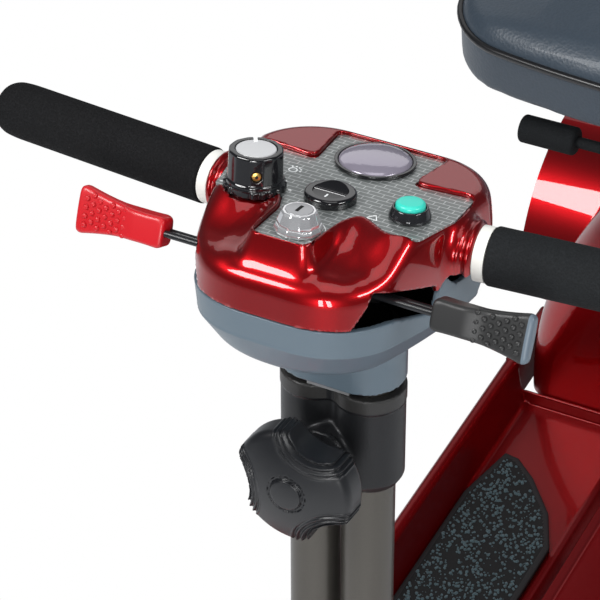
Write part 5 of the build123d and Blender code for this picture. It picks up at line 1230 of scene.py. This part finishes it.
@dataclass
class PanelControls:
    """Gauge, horn, key and the plain marks printed on the panel.

    Args:
        gauge_at, horn_at, key_at: Centres on the panel.
        key_fold: Angle of one facet of the lock, in degrees.
        print_top: Height of the printed marks.
        scale_radius: Radius of the speed scale round the knob.
        triangle_at, triangle: Centre and reach of the triangle.
        lamp_at, ray_reach: Centre of the lamp, and distance of its rays.
    """

    gauge_at: Point2 = (0, 41)
    horn_at: Point2 = (51, -14)
    key_at: Point2 = (3, -65)
    key_fold: float = 30
    print_top: float = 0.12
    scale_radius: float = 21.3
    triangle_at: Point2 = (33.0, -27.0)
    triangle: float = 4
    lamp_at: Point2 = (-38.0, 4.0)
    ray_reach: float = 5.0

    def gauge(self) -> None:
        """The gauge's rim and its dome."""
        at = HEAD.shifted(*self.gauge_at)
        rim = Lathe("gauge_rim", [(0, -14), (24.2, -14), (24.2, 0.2), (25.6, 0.2), (25.6, 2.4), (23.3, 2.4),
                                  (23.3, 0.6), (0, 0.6)], at).build(material("black_plastic"))
        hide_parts("gauge_body")
        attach(rim, "head")
        dome = [(0, 0.7), (22.9, 0.7)] + [(23 * math.cos(t), 1.7 + 4.6 * math.sin(t))
                                          for t in np.linspace(0.0, math.pi / 2, 12)[:-1]] + [(0, 6.3)]
        lens = Lathe("gauge_dome", dome, at, rounding=0.4, segments=128).build(material("pearl"))
        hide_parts("gauge_lens")
        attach(lens, "head")

    def horn(self) -> None:
        """The horn's bezel and its button."""
        at = HEAD.shifted(*self.horn_at)
        bezel = Lathe("horn_cone", [(0, -8), (6.4, -8), (6.4, 0.3), (13, 0.3), (13, 2.2), (10.9, 7.4),
                                    (9.6, 7.4), (9.6, 1.6), (0, 1.6)], at).build(material("horn_collar"))
        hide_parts("horn_bezel")
        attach(bezel, "head")
        cap = Lathe("horn_cap_button", [(0, 4.2), (9.1, 4.2), (9.1, 9.4), (7.6, 10.6), (0, 10.9)], at,
                    rounding=1.0).build(material("horn_cap"))
        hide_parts("horn_button")
        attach(cap, "horn")

    def key(self) -> None:
        """The faceted lock with its disc, and a flat black plate painted as the shade in its slot."""
        at = HEAD.shifted(*self.key_at)
        fold = math.radians(self.key_fold)

        def facet(angle: float) -> float:
            """Factor on the radius that flattens the round into facets."""
            return math.cos(math.radians(self.key_fold / 2)) / math.cos((angle % fold) - fold / 2)

        base = Lathe("key_escutcheon", [(0, -6), (9, -6), (9, 0.3), (15, 0.3), (15, 2.0), (13.8, 4.6),
                                        (0, 4.6)], at, rounding=0.4, segments=120,
                     shape=facet).build(material("chrome"))
        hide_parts("key_housing")
        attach(base, "head")
        plug = Lathe("key_barrel", [(0, 4.8), (13.4, 4.8), (13.2, 6.6), (11.0, 12.0), (10.0, 13.2),
                                    (8.6, 13.2), (8.6, 12.6), (0, 12.6)], at, rounding=0.3, segments=120,
                     shape=facet).build(material("chrome"))
        disc = Lathe("key_disc", [(0, 12.4), (8.3, 12.4), (8.3, 13.6), (0, 13.9)], at, rounding=0.4).build(
            material("steel"))
        # The key's slot is not cut: a flat black plate on the disc is painted shade where the slot is.
        hole = plate("key_slot", [(-1.0, -3.8), (1.0, -3.8), (1.0, 3.8), (-1.0, 3.8)], 13.5, 14.05, at,
                     "inner_black")
        plug = joined("key_barrel", [plug, disc, hole])
        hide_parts("key_plug")
        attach(plug, "key")

    def marks(self) -> None:
        """Plain white marks: a speed scale, a triangle, a lamp with rays and an arc round the key."""
        parts: List[bpy.types.Object] = []

        def stroke(corners: Sequence[Point2]) -> None:
            """Prints one flat shape."""
            parts.append(plate("mark", corners, 0.0, self.print_top, HEAD, "print_white"))

        def ring(centre: Point2, outer: float, inner: float, start: float = 0.0,
                 sweep: float = 360.0) -> None:
            """Prints one ring or arc."""
            parts.append(ring_plate("mark", centre, outer, inner, 0.0, self.print_top, HEAD, "print_white",
                                    start, sweep))

        for i in range(9):
            angle = math.radians(225 - 33.75 * i)
            c, s = math.cos(angle), math.sin(angle)
            cx, cy = KNOB[0] + self.scale_radius * c, KNOB[1] + self.scale_radius * s
            if panel_distance(np.array([cx]), np.array([cy]))[0] > -1.5:
                continue
            wide = 0.35 + 0.08 * i
            stroke([(cx + a * c - b * s, cy + a * s + b * c) for a, b in
                    ((-0.9, -wide), (0.9, -wide), (0.9, wide), (-0.9, wide))])
        turns = [math.radians(90 + 120 * k) for k in range(3)]
        x, y = self.triangle_at
        outer = [(x + self.triangle * math.cos(a), y + self.triangle * math.sin(a)) for a in turns]
        for a, b in zip(outer, outer[1:] + outer[:1]):
            d = Vector((b[0] - a[0], b[1] - a[1])).normalized() * 0.3
            stroke([(a[0] + d.y, a[1] - d.x), (b[0] + d.y, b[1] - d.x), (b[0] - d.y, b[1] + d.x),
                    (a[0] - d.y, a[1] + d.x)])
        ring(self.lamp_at, 3.0, 2.2)
        for k in range(5):
            angle = math.radians(30 * k)
            ring((self.lamp_at[0] + self.ray_reach * math.cos(angle),
                  self.lamp_at[1] + self.ray_reach * math.sin(angle)), 0.7, 0.1)
        ring(self.key_at, 16.4, 15.7, 25, 130)
        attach(joined("panel_marks", parts), "head")
        bar = plate("rocker_mark", [(-0.5, -26.5), (0.5, -26.5), (0.5, -22.5), (-0.5, -22.5)], 4.55, 4.8,
                    HEAD, "print_white")
        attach(bar, "rocker")

    def build(self) -> None:
        """Makes every control and the marks."""
        self.gauge()
        self.horn()
        self.key()
        self.marks()


@dataclass
class ThrottlePaddles:
    """The two finger pads of the lever, with raised dots on their outer halves.

    Args:
        inner, outer: Ends of a pad, measured along the lever.
        tip_start: Where its tip takes the second finish.
        rows, columns: Number of dots across and along.
        first: Where the first column of dots stands.
        column_gap, row_gap: Spacing of the dots.
    """

    inner: float = 90
    outer: float = 156
    tip_start: float = 149.5
    rows: int = 4
    columns: int = 7
    first: float = 119
    column_gap: float = 4.6
    row_gap: float = 5.6

    def solid(self, side: int) -> Field:
        """One finger pad, waisted and thicker at its root.

        Args:
            side: -1 for the right pad, 1 for the left.

        Returns:
            Distance function of the pad.
        """

        def distance(p: Array) -> Array:
            """Distance to the pad.

            Args:
                p: Points in the lever's frame.

            Returns:
                Signed distances in millimetres, negative inside.
            """
            u, y, z = p[..., 0] * side, p[..., 1], p[..., 2]
            t = np.clip((u - 92) / 61, 0, 1)
            waist = 10.2 + 6.0 * t * t - 1.2 * np.sin(math.pi * t)
            plan = smax(np.abs(z) - waist, np.abs(u - 122.5) - 30.5 - 2.0 * (1 - (z / 15) ** 2), 5)
            plan = smax(plan, np.abs(u - 122) - 31.5, 1)
            root = 2.6 * (1 - step(u, 110, 126))
            return smax(plan, np.abs(y + 0.2) - 4.1 - root - 0.8 * (1 - (z / 14) ** 2), 3.0)
        return distance

    def build(self) -> None:
        """Makes both pads with their dots."""
        for side, node, finish, tip in ((-1, "paddle_red", "paddle_red", "paddle_red"),
                                        (1, "paddle_grey", "paddle_olive", "paddle_tip")):
            near, far = sorted((self.inner * side, self.outer * side))
            pad = Sculpt(node + "_pad", self.solid(side), (near, -9, -18), (far, 9, 18), 0.9, LEVER).build(
                [material(finish), material(tip)], lambda c, n, s=side: c[:, 0] * s > self.tip_start)
            spots = []
            for column in range(self.columns):
                for row in range(self.rows):
                    u = self.first + self.column_gap * column
                    z = (row - (self.rows - 1) / 2 + (0.5 if column % 2 else 0)) * self.row_gap
                    if abs(z) <= 8.6 + (u - self.first) * 0.12:
                        spots.append((u * side, -4.9 + 0.8 * (z / 14) ** 2, z))
            facing = np.tile([0.0, -1.0, 0.0], (len(spots), 1)) @ LEVER.axes
            dot = stud("dot", [(0, -0.8), (1.75, -0.8), (1.75, 0.9), (1.2, 1.7), (0, 2.0)], 16)
            dots = Scatter(node + "_dots", dot, LEVER.world(np.array(spots)), facing, finish).build()
            pad = joined(node + "_pad", [pad, dots])
            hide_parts(node)
            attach(pad, "throttle")


@dataclass
class ColumnClamp:
    """The cast collar round both tubes, and its three-lobed knob.

    Args:
        lobes: Angles of the knob's lobes, in degrees.
        tube_offset: Distance of each tube from the middle.
        bore: Radius of the bores for the tubes.
        collar_radius: Outer radius round each tube.
        knob_height: Height of the knob's axis, along the column.
        knob_radius: Reach of the lobes.
        scoop_reach, scoop_radius: Place and size of the scoops between the lobes.
        ridge, ridge_gap: Depth and spacing of the finger ridges.
    """

    lobes: Tuple[int, ...] = (10, 130, 250)
    tube_offset: float = 19
    bore: float = 17.6
    collar_radius: float = 23.3
    knob_height: float = -183
    knob_radius: float = 41.0
    scoop_reach: float = 57
    scoop_radius: float = 26.5
    ridge: float = 0.8
    ridge_gap: float = 3.4

    def collar(self, p: Array) -> Array:
        """The cast collar with its boss and bores.

        Args:
            p: Points in the local frame.

        Returns:
            Signed distances in millimetres, negative inside.
        """
        x, y, z = split(p)
        left, right = hypot(x - self.tube_offset, y), hypot(x + self.tube_offset, y)
        body = smin(left - self.collar_radius, right - self.collar_radius, 7)
        body = smax(body + 3.2 * step(-z, 205, 212.5), np.abs(z + 174.6) - 37.3, 1.4)
        body = np.minimum(body, smax(smin(left - 23.8, right - 23.8, 7), np.abs(z + 143.0) - 5.6, 0.8))
        boss = hypot(x, z - self.knob_height)
        ledge = 17.0 + 1.6 * step(y, -41, -40) * step(-y, 34, 35) + 1.2 * step(-y, 27, 28) * step(y, -31, -30)
        stub = smax(boss - ledge, np.maximum(-y - 43.8, y), 0.8)
        body = smin(body, stub, 4)
        return smax(body, -np.minimum(left - self.bore, right - self.bore), 0.8)

    def knob(self, p: Array) -> Array:
        """The knob with its scooped, ridged flanks and a cap.

        Args:
            p: Points in the local frame.

        Returns:
            Signed distances in millimetres, negative inside.
        """
        x, y, z = split(p)
        radius = hypot(x, y)
        plan = radius - self.knob_radius
        scoop = np.full(radius.shape, 1e9)
        for angle in self.lobes:
            a = math.radians(angle + 60)
            away = hypot(x - self.scoop_reach * math.cos(a), y - self.scoop_reach * math.sin(a))
            scoop = np.minimum(scoop, away - self.scoop_radius)
        face = 77.6 - 8.6 * (radius / self.knob_radius) ** 2
        flank = np.clip(scoop / 11.5, 0, 1)
        fade = step(radius, 17, 30) * (1 - step(scoop, 8.5, 11.5))
        steps = self.ridge * np.cos(scoop * 2 * math.pi / self.ridge_gap) * fade
        plan = smax(plan, -scoop, 3.2)
        front = z - face + 1.0 * fade * (1 - flank)
        solid = smax(plan, front * 0.95, 4.5)
        solid = smax(solid, 49.5 - z + 0.1 * np.maximum(radius - 33, 0), 4)
        solid = solid - steps
        cap = smax(radius - 10.6, z - 79.0 + (radius / 10.6) ** 2 * 0.8, 0.7)
        groove = smax(np.abs(radius - 12.3) - 1.0, 76.0 - z, 0.5)
        solid = np.maximum(solid, -groove)
        neck = smax(radius - 16, np.abs(z - 47.2) - 2.6, 0.6)
        return np.minimum(np.minimum(solid, np.maximum(cap, 60 - z)), neck)

    def build(self) -> None:
        """Makes the collar and the knob."""
        collar = Sculpt("clamp_collar", self.collar, (-45, -46, -214), (45, 26, -136), 1.3, COLUMN).build(
            [material("collar_charcoal"), material("collar_worn")],
            lambda c, n: (c[:, 2] > -147.5) & (hypot(c[:, 0], c[:, 1]) > 18))
        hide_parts("column_collar")
        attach(collar, "head")
        at = COLUMN.shifted(z=self.knob_height, lean=-90)
        knob = Sculpt("three_lobe_knob", self.knob, (-43, -43, 43), (43, 43, 81), 1.0, at).build(
            [material("black_matte")])
        stem = Lathe("clamp_stud", [(0, 13), (5, 13), (5, 50), (0, 50)], at).build(material("steel"))
        knob = joined("three_lobe_knob", [knob, stem])
        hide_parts("clamp_knob")
        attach(knob, "clamp")


# ------------------------------------------------------------------ deck and covers
@dataclass
class FootDeck:
    """The moulded floor tub with its rolled lips, and its two carpeted mats.

    Args:
        pitch: Cell size of the tub's mesh.
        mat_line: Outline of the mat on the positive side.
        tufts: Number of carpet tufts tried on each mat.
    """

    pitch: float = 3.0
    mat_line: Tuple[Point2, ...] = ((201, -360), (201, 55), (187, 119), (172, 117), (148, 98), (116, 62),
                                    (96, 20), (96, -360))
    tufts: int = 3600

    def section(self) -> List[Tuple[float, float]]:
        """Right half of the cross-section's middle line, from the tunnel to the skirt."""
        lip = [(216.5 + 4.6 * math.cos(a), 143.4 + 4.6 * math.sin(a)) for a in np.linspace(math.pi, 0, 7)]
        floor = [(0, 147), (50, 145), (60, 141), (84, 101), (92, 98), (200, 98), (205, 101)]
        return floor + lip + [(221, 80)]

    def solid(self, p: Array) -> Array:
        """The tub with its bulkhead, wings and flange.

        Args:
            p: Points in the local frame.

        Returns:
            Signed distances in millimetres, negative inside.
        """
        x, y, z = np.abs(p[..., 0]), p[..., 1], p[..., 2]
        line = self.section()
        skin = np.full(x.shape, 1e9)
        for (ax, az), (bx, bz) in zip(line, line[1:]):
            ex, ez = bx - ax, bz - az
            t = np.clip(((x - ax) * ex + (z - az) * ez) / (ex * ex + ez * ez), 0, 1)
            skin = smin(skin, hypot(x - ax - ex * t, z - az - ez * t) - 2.0, 0.8)
        bulkhead = smax(np.maximum(np.maximum(x - 219, z - 148), 97 - z), np.abs(y + 408) - 2, 1)
        tub = smin(smax(skin, np.abs(y + 105.25) - 304.5, 2), bulkhead, 4)
        wing = smax(np.maximum(np.abs(x - 216) - 6.6, np.abs(z - 124.5) - 25.3), np.abs(y - 240) - 44.6, 4)
        cut = (-(y + 418) * 0.49 + (z - 120) * 0.87)
        flange = np.maximum(np.maximum(x - 216, np.abs(z - 106) - 8.5), np.abs(y - 197.8) - 1.6)
        return smax(np.minimum(np.minimum(tub, wing), flange), cut, 1.5)

    def mat(self, side: int) -> Field:
        """One mat.

        Args:
            side: -1 for the right mat, 1 for the left.

        Returns:
            Distance function of the mat.
        """

        def distance(p: Array) -> Array:
            """Distance to the mat."""
            edge = polygon(p[..., 0] * side, p[..., 1], self.mat_line) + 1.0
            return smax(edge - 1.0, np.abs(p[..., 2] - 103.2) - 2.7, 1.6)
        return distance

    def build(self) -> None:
        """Makes the tub and both mats."""
        tub = Sculpt("floor_tub", self.solid, (-224, -412, 76), (224, 286, 151), self.pitch).build(
            [material("deck_red")])
        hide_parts("deck_tub")
        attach(tub, "base")
        mats = []
        for side in (-1, 1):
            near, far = sorted((92 * side, 205 * side))
            body = Sculpt("mat", self.mat(side), (near, -364, 99), (far, 124, 108), 2.0).build(
                [material("mat_black"), material("mat_border")],
                lambda c, n, s=side: polygon(c[:, 0] * s, c[:, 1], self.mat_line) > -5.5)
            rng = np.random.default_rng(5 + side)
            spots = rng.uniform((97, -358, 105.8), (200, 118, 105.9), (self.tufts, 3))
            keep = polygon(spots[:, 0], spots[:, 1], self.mat_line) < -6.5
            spots = spots[keep] * np.array([side, 1, 1])
            lean = rng.normal(0, 0.5, (len(spots), 3)) + np.array([0, 0, 1.0])
            lean /= np.linalg.norm(lean, axis=1)[:, None]
            tuft = stud("tuft", [(0, -0.5), (1.1, -0.5), (1.4, 0.7), (0.8, 1.5), (0, 1.7)], 6)
            tufts = Scatter("tufts", tuft, spots, lean, "carpet_fleck", 0.3, 1.3, 3).build()
            mats += [body, tufts]
        mat = joined("carpet_mats", mats)
        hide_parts("floor_mats")
        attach(mat, "base")


CLOTH: Dict[str, object] = {"quality": 5, "mass": 0.3, "tension_stiffness": 30, "compression_stiffness": 30,
                            "shear_stiffness": 20, "bending_stiffness": 12, "use_pressure": True,
                            "vertex_group_mass": "held"}


@dataclass
class Cushion:
    """A sewn cushion: foam inflated as cloth between its welts, then piped.

    Args:
        name: Object name.
        node: CAD node it stands for.
        body: Body it rides on.
        solid: Distance function of the foam block.
        low, high: Box that holds it.
        frame: Frame of the function.
        outline: Closed line of the welt, in the frame.
        pinned: Picks the local points that the cover holds still.
        pressure: Pressure that inflates the cloth.
        frames: Number of cloth steps.
        most: Furthest that a point may move, in metres.
        cord: Radius of the piping, in millimetres.
    """

    name: str
    node: str
    body: str
    solid: Field
    low: Sequence[float]
    high: Sequence[float]
    frame: Frame
    outline: Sequence[Sequence[float]]
    pinned: Callable[[Array], Array]
    pressure: float = 2.2
    frames: int = 16
    most: float = 0.006
    cord: float = 3.4

    def build(self) -> None:
        """Inflates the foam, evens it out and adds the piping."""
        foam = Sculpt(self.name, self.solid, self.low, self.high, 6.0, self.frame).build([material("vinyl")])
        data = foam.data
        if data.has_custom_normals:
            with bpy.context.temp_override(object=foam, active_object=foam, selected_objects=[foam]):
                bpy.ops.mesh.customdata_custom_splitnormals_clear()
        points = np.array([v.co[:] for v in data.vertices]) / MM
        hold = self.pinned(self.frame.local(points))
        group = foam.vertex_groups.new(name="held")
        group.add([int(i) for i in np.nonzero(hold)[0]], 1.0, "REPLACE")
        cloth = foam.modifiers.new("inflate", "CLOTH")
        for label, value in CLOTH.items():
            setattr(cloth.settings, label, value)
        cloth.settings.uniform_pressure_force = self.pressure
        cloth.settings.effector_weights.gravity = 0
        cloth.collision_settings.use_collision = False
        cloth.point_cache.frame_start, cloth.point_cache.frame_end = 1, self.frames
        scene = bpy.context.scene
        for number in range(1, self.frames + 1):
            scene.frame_set(number)
        swollen = evaluated(foam)
        foam.modifiers.remove(cloth)
        new = np.array([v.co[:] for v in swollen.vertices])
        old = np.array([v.co[:] for v in data.vertices])
        move = new - old
        far = np.maximum(np.linalg.norm(move, axis=1) / self.most, 1)
        data.vertices.foreach_set("co", (old + settled(data, move / far[:, None], hold)).ravel())
        bpy.data.meshes.remove(swollen)
        scene.frame_set(1)
        subdivide = foam.modifiers.new("smooth", "SUBSURF")
        subdivide.levels = subdivide.render_levels = 1
        smooth = evaluated(foam)
        foam.modifiers.clear()
        foam.data = smooth
        welt = self.frame.world(np.array(self.outline, float))
        piping = piping_round(self.name + "_piping", welt, self.cord)
        whole = joined(self.name, [foam, piping])
        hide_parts(self.node)
        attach(whole, self.body)
        log.info("%s: sewn", self.name)


def settled(data: bpy.types.Mesh, move: Array, hold: Array, rounds: int = 24) -> Array:
    """Evens out a displacement over neighbouring vertices, so that no small ripple stays.

    Args:
        data: Mesh that is moved.
        move: Displacement of each vertex.
        hold: Vertices that stay.
        rounds: Number of passes.

    Returns:
        The evened displacement.
    """
    edges = np.array([e.vertices[:] for e in data.edges])
    degree = np.zeros(len(move))
    np.add.at(degree, edges.ravel(), 1)
    for _ in range(rounds):
        total = np.zeros_like(move)
        np.add.at(total, edges[:, 0], move[edges[:, 1]])
        np.add.at(total, edges[:, 1], move[edges[:, 0]])
        move = 0.4 * move + 0.6 * total / np.maximum(degree, 1)[:, None]
        move[hold] = 0
    return move


def piping_round(name: str, line: Array, radius: float, sides: int = 10) -> bpy.types.Object:
    """A closed round cord along a loop of scooter millimetres.

    Args:
        name: Object name.
        line: Points of the loop.
        radius: Radius of the cord.
        sides: Number of sides.

    Returns:
        The new object.
    """
    tangent = np.roll(line, -1, axis=0) - np.roll(line, 1, axis=0)
    tangent /= np.linalg.norm(tangent, axis=1)[:, None]
    middle = line.mean(0)
    normal = line - middle
    normal -= (normal * tangent).sum(1)[:, None] * tangent
    normal /= np.linalg.norm(normal, axis=1)[:, None]
    other = np.cross(tangent, normal)
    angles = np.arange(sides) * 2 * math.pi / sides
    ring = line[:, None] + radius * (np.cos(angles)[None, :, None] * normal[:, None]
                                     + np.sin(angles)[None, :, None] * other[:, None])
    count = len(line)
    faces = [[i * sides + k, i * sides + (k + 1) % sides, ((i + 1) % count) * sides + (k + 1) % sides,
              ((i + 1) % count) * sides + k] for i in range(count) for k in range(sides)]
    return from_arrays(name, ring.reshape(-1, 3), faces, material("piping"))


def loop_of(distance: Callable[[Array, Array], Array], centre: Tuple[float, float], count: int) -> Array:
    """Points of a closed outline where a plan distance is zero, seen from its middle.

    Args:
        distance: Distance to the plan.
        centre: A point inside it.
        count: Number of points.

    Returns:
        Points of the outline.
    """
    angles = np.linspace(0, 2 * math.pi, count, endpoint=False)
    low, high = np.zeros(count), np.full(count, 600.0)
    for _ in range(40):
        mid = (low + high) / 2
        inside = distance(centre[0] + mid * np.cos(angles), centre[1] + mid * np.sin(angles)) < 0
        low, high = np.where(inside, mid, low), np.where(inside, high, mid)
    return np.stack([centre[0] + low * np.cos(angles), centre[1] + low * np.sin(angles)], 1)


@dataclass
class Chair:
    """Both cushions of the chair.

    Args:
        half: Half width of the seat, at its bowed sides.
        seat_welt: Height of the seat's welt.
        back_welt: Depth of the backrest's welt, in its own frame.
        points: Number of points round each welt.
    """

    half: float = 246
    seat_welt: float = 581.0
    back_welt: float = 12.0
    points: int = 180

    def seat_plan(self, x: Array, y: Array) -> Array:
        """Plan of the seat cushion, with its bowed front edge."""
        bow = 26.0 * np.clip(np.abs(x) / self.half, 0, 1) ** 2.2
        return plan_box(x, y - bow * step(-y, -330, -150), 245.0, 103.0, 531.0, 62, 42)

    def seat(self, p: Array) -> Array:
        """Foam of the seat, crowned and falling to its front edge.

        Args:
            p: Points in the local frame.

        Returns:
            Signed distances in millimetres, negative inside.
        """
        x, y, z = split(p)
        crown = 600 + 7 * (1 - np.clip(np.abs(x) / self.half, 0, 1) ** 2) - 8 * np.clip((130 - y) / 40, 0, 1)
        return smax(smax(self.seat_plan(x, y), z - crown, 30), 535.5 - z, 8)

    def back_plan(self, x: Array, z: Array) -> Array:
        """Plan of the backrest, narrower at its top."""
        return plan_box(x, z, 200 - 8 * step(z, 250, 380), 14.5, 430.5, 30, 105)

    def back(self, p: Array) -> Array:
        """Foam of the backrest, hollowed across and full at the lumbar.

        Args:
            p: Points in the local frame.

        Returns:
            Signed distances in millimetres, negative inside.
        """
        x, y, z = split(p)
        face = -17 + 10 * np.clip(np.abs(x) / 200, 0, 1) ** 2 - 5 * np.exp(-((z - 110) / 60) ** 2)
        return smax(smax(self.back_plan(x, z), face - y, 26), y - 45.5, 8)

    def build(self) -> None:
        """Makes both cushions."""
        rim = loop_of(self.seat_plan, (0, 317), self.points)
        welt = np.column_stack([rim, np.full(len(rim), self.seat_welt)])
        Cushion("seat_pad", "seat_cushion", "seat", self.seat, (-250, 98, 532), (250, 536, 612), ROOT, welt,
                lambda q: (q[:, 2] < 545) | (np.abs(q[:, 2] - self.seat_welt) < 7)
                & (self.seat_plan(q[:, 0], q[:, 1]) > -6)).build()
        rim = loop_of(self.back_plan, (0, 220), self.points)
        welt = np.column_stack([rim[:, 0], np.full(len(rim), self.back_welt), rim[:, 1]])
        Cushion("back_pad", "backrest_cushion", "backrest", self.back, (-206, -26, 8), (206, 50, 436), BACK,
                welt, lambda q: (q[:, 1] > 36) | (np.abs(q[:, 1] - self.back_welt) < 7)
                & (self.back_plan(q[:, 0], q[:, 2]) > -6)).build()


# ------------------------------------------------------------------ light and camera
def stage_material(white: float) -> bpy.types.Material:
    """Pale floor that the camera sees as plain white.

    Args:
        white: Brightness that the camera sees.

    Returns:
        The material.
    """
    made = bpy.data.materials.new("studio_floor")
    made.use_nodes = True
    nodes, links = made.node_tree.nodes, made.node_tree.links
    body = nodes["Principled BSDF"]
    body.inputs["Base Color"].default_value = (0.75, 0.75, 0.75, 1)
    body.inputs["Roughness"].default_value = 0.9
    glow = nodes.new("ShaderNodeEmission")
    glow.inputs["Color"].default_value = (white, white, white, 1)
    path = nodes.new("ShaderNodeLightPath")
    mix = nodes.new("ShaderNodeMixShader")
    wire(links, (path, "Is Camera Ray", mix, "Fac"), (body, "BSDF", mix, 1), (glow, "Emission", mix, 2))
    links.new(mix.outputs["Shader"], nodes["Material Output"].inputs["Surface"])
    return made


def build_world() -> None:
    """White for the camera, a soft grey room for light and reflections."""
    world = bpy.data.worlds.new("studio")
    bpy.context.scene.world = world
    world.use_nodes = True
    nodes, links = world.node_tree.nodes, world.node_tree.links
    out = nodes["World Output"]
    room = nodes["Background"]
    room.inputs["Color"].default_value = (0.80, 0.84, 0.90, 1)
    room.inputs["Strength"].default_value = 0.6
    seen = nodes.new("ShaderNodeBackground")
    seen.inputs["Color"].default_value = (1, 1, 1, 1)
    mirrored = nodes.new("ShaderNodeBackground")
    mirrored.inputs["Color"].default_value = (0.075, 0.078, 0.085, 1)
    path = nodes.new("ShaderNodeLightPath")
    gloss = nodes.new("ShaderNodeMixShader")
    mix = nodes.new("ShaderNodeMixShader")
    wire(links, (path, "Is Glossy Ray", gloss, "Fac"), (room, "Background", gloss, 1),
                (mirrored, "Background", gloss, 2), (path, "Is Camera Ray", mix, "Fac"),
                (gloss, "Shader", mix, 1), (seen, "Background", mix, 2), (mix, "Shader", out, "Surface"))


@dataclass(frozen=True)
class Softbox:
    """A rectangular area light aimed at a target.

    Args:
        name: Object name.
        spot, target: Where it stands and looks, in metres.
        size: Width and height, in metres.
        power: Watts.
    """

    name: str
    spot: Tuple[float, float, float]
    target: Tuple[float, float, float]
    size: Point2
    power: float

    def build(self) -> None:
        """Makes the light."""
        data = bpy.data.lights.new(self.name, "AREA")
        data.shape = "RECTANGLE"
        data.size, data.size_y = self.size
        data.energy = self.power
        lamp = link(self.name, data)
        lamp.location = self.spot
        aim = Vector(self.target) - Vector(self.spot)
        lamp.rotation_euler = aim.to_track_quat("-Z", "Y").to_euler()


@dataclass
class Studio:
    """Floor, room, lights and the camera.

    Args:
        half: Half width of the floor, in millimetres.
        azimuth, elevation, roll: Direction of the view, in degrees.
        lens: Focal length, in millimetres.
        sensor: Width of the sensor, in millimetres.
        eye: Where the camera stands, in metres.
        lights: The area lights.
    """

    half: float = 9000
    azimuth: float = 31.6
    elevation: float = 40.72
    roll: float = 5.2
    lens: float = 168
    sensor: float = 36
    eye: Tuple[float, float, float] = (0.669, -1.622, 1.984)
    lights: Tuple[Softbox, ...] = (
        Softbox("key_light", (-1.1, -1.6, 2.6), (0, -0.45, 0.85), (0.9, 0.9), 42),
        Softbox("backdrop", (-1.15, 1.6, 1.75), (0, -0.47, 0.93), (2.6, 1.1), 7),
        Softbox("overhead", (0.2, -0.3, 3.0), (0, -0.45, 0.9), (1.6, 1.2), 8),
        Softbox("front_window", (0.55, -2.5, 1.35), (0, -0.5, 0.85), (0.22, 1.0), 12),
        Softbox("front_window_twin", (0.95, -2.4, 1.35), (0, -0.5, 0.85), (0.22, 1.0), 12),
        Softbox("side_strip", (1.9, -0.55, 2.1), (0, -0.5, 0.9), (1.1, 0.3), 20),
    )

    def build(self) -> None:
        """Makes the floor, the room and the lights, and places the camera."""
        corners = [(x * self.half, y * self.half, -0.5) for x, y in ((-1, -1), (1, -1), (1, 1), (-1, 1))]
        floor = from_arrays("studio_floor", np.array(corners, float), [[0, 1, 2, 3]], stage_material(1.0),
                            smooth=False)
        build_world()
        for light in self.lights:
            light.build()
        self.place_camera()

    def place_camera(self) -> None:
        """Places the camera at the viewing angle."""
        camera = bpy.data.cameras.new("camera")
        camera.lens = self.lens
        camera.sensor_width = self.sensor
        rig = link("camera", camera)
        azimuth, elevation, roll = (math.radians(a) for a in (self.azimuth, self.elevation, self.roll))
        right = Vector((math.cos(azimuth), math.sin(azimuth), 0))
        back = Vector((math.sin(azimuth) * math.cos(elevation), -math.cos(azimuth) * math.cos(elevation),
                       math.sin(elevation)))
        up = back.cross(right)
        across = right * math.cos(roll) - up * math.sin(roll)
        above = right * math.sin(roll) + up * math.cos(roll)
        place = Matrix((across, above, back)).transposed().to_4x4()
        place.translation = Vector(self.eye)
        rig.matrix_world = place
        bpy.context.scene.camera = rig
        bpy.context.scene.view_settings.view_transform = "Standard"


def paint_frame() -> None:
    """Gives every construction node its finish."""
    for node in frame["nodes"].values():
        for place in node.material_slots:
            name = place.material.name.split(".")[0] if place.material else "black_matte"
            place.material = material(name if name in LOOKS else "black_matte")


def main() -> None:
    """Builds the looks, assembly by assembly, and reports each."""
    paint_frame()
    for assembly in (TillerHead(), SpeedKnob(), PanelControls(), ThrottlePaddles(), ColumnClamp(), FootDeck(),
                     Chair(), Studio()):
        assembly.build()
        log.info("%s: complete", type(assembly).__name__)


if __name__ == "__main__":
    main()
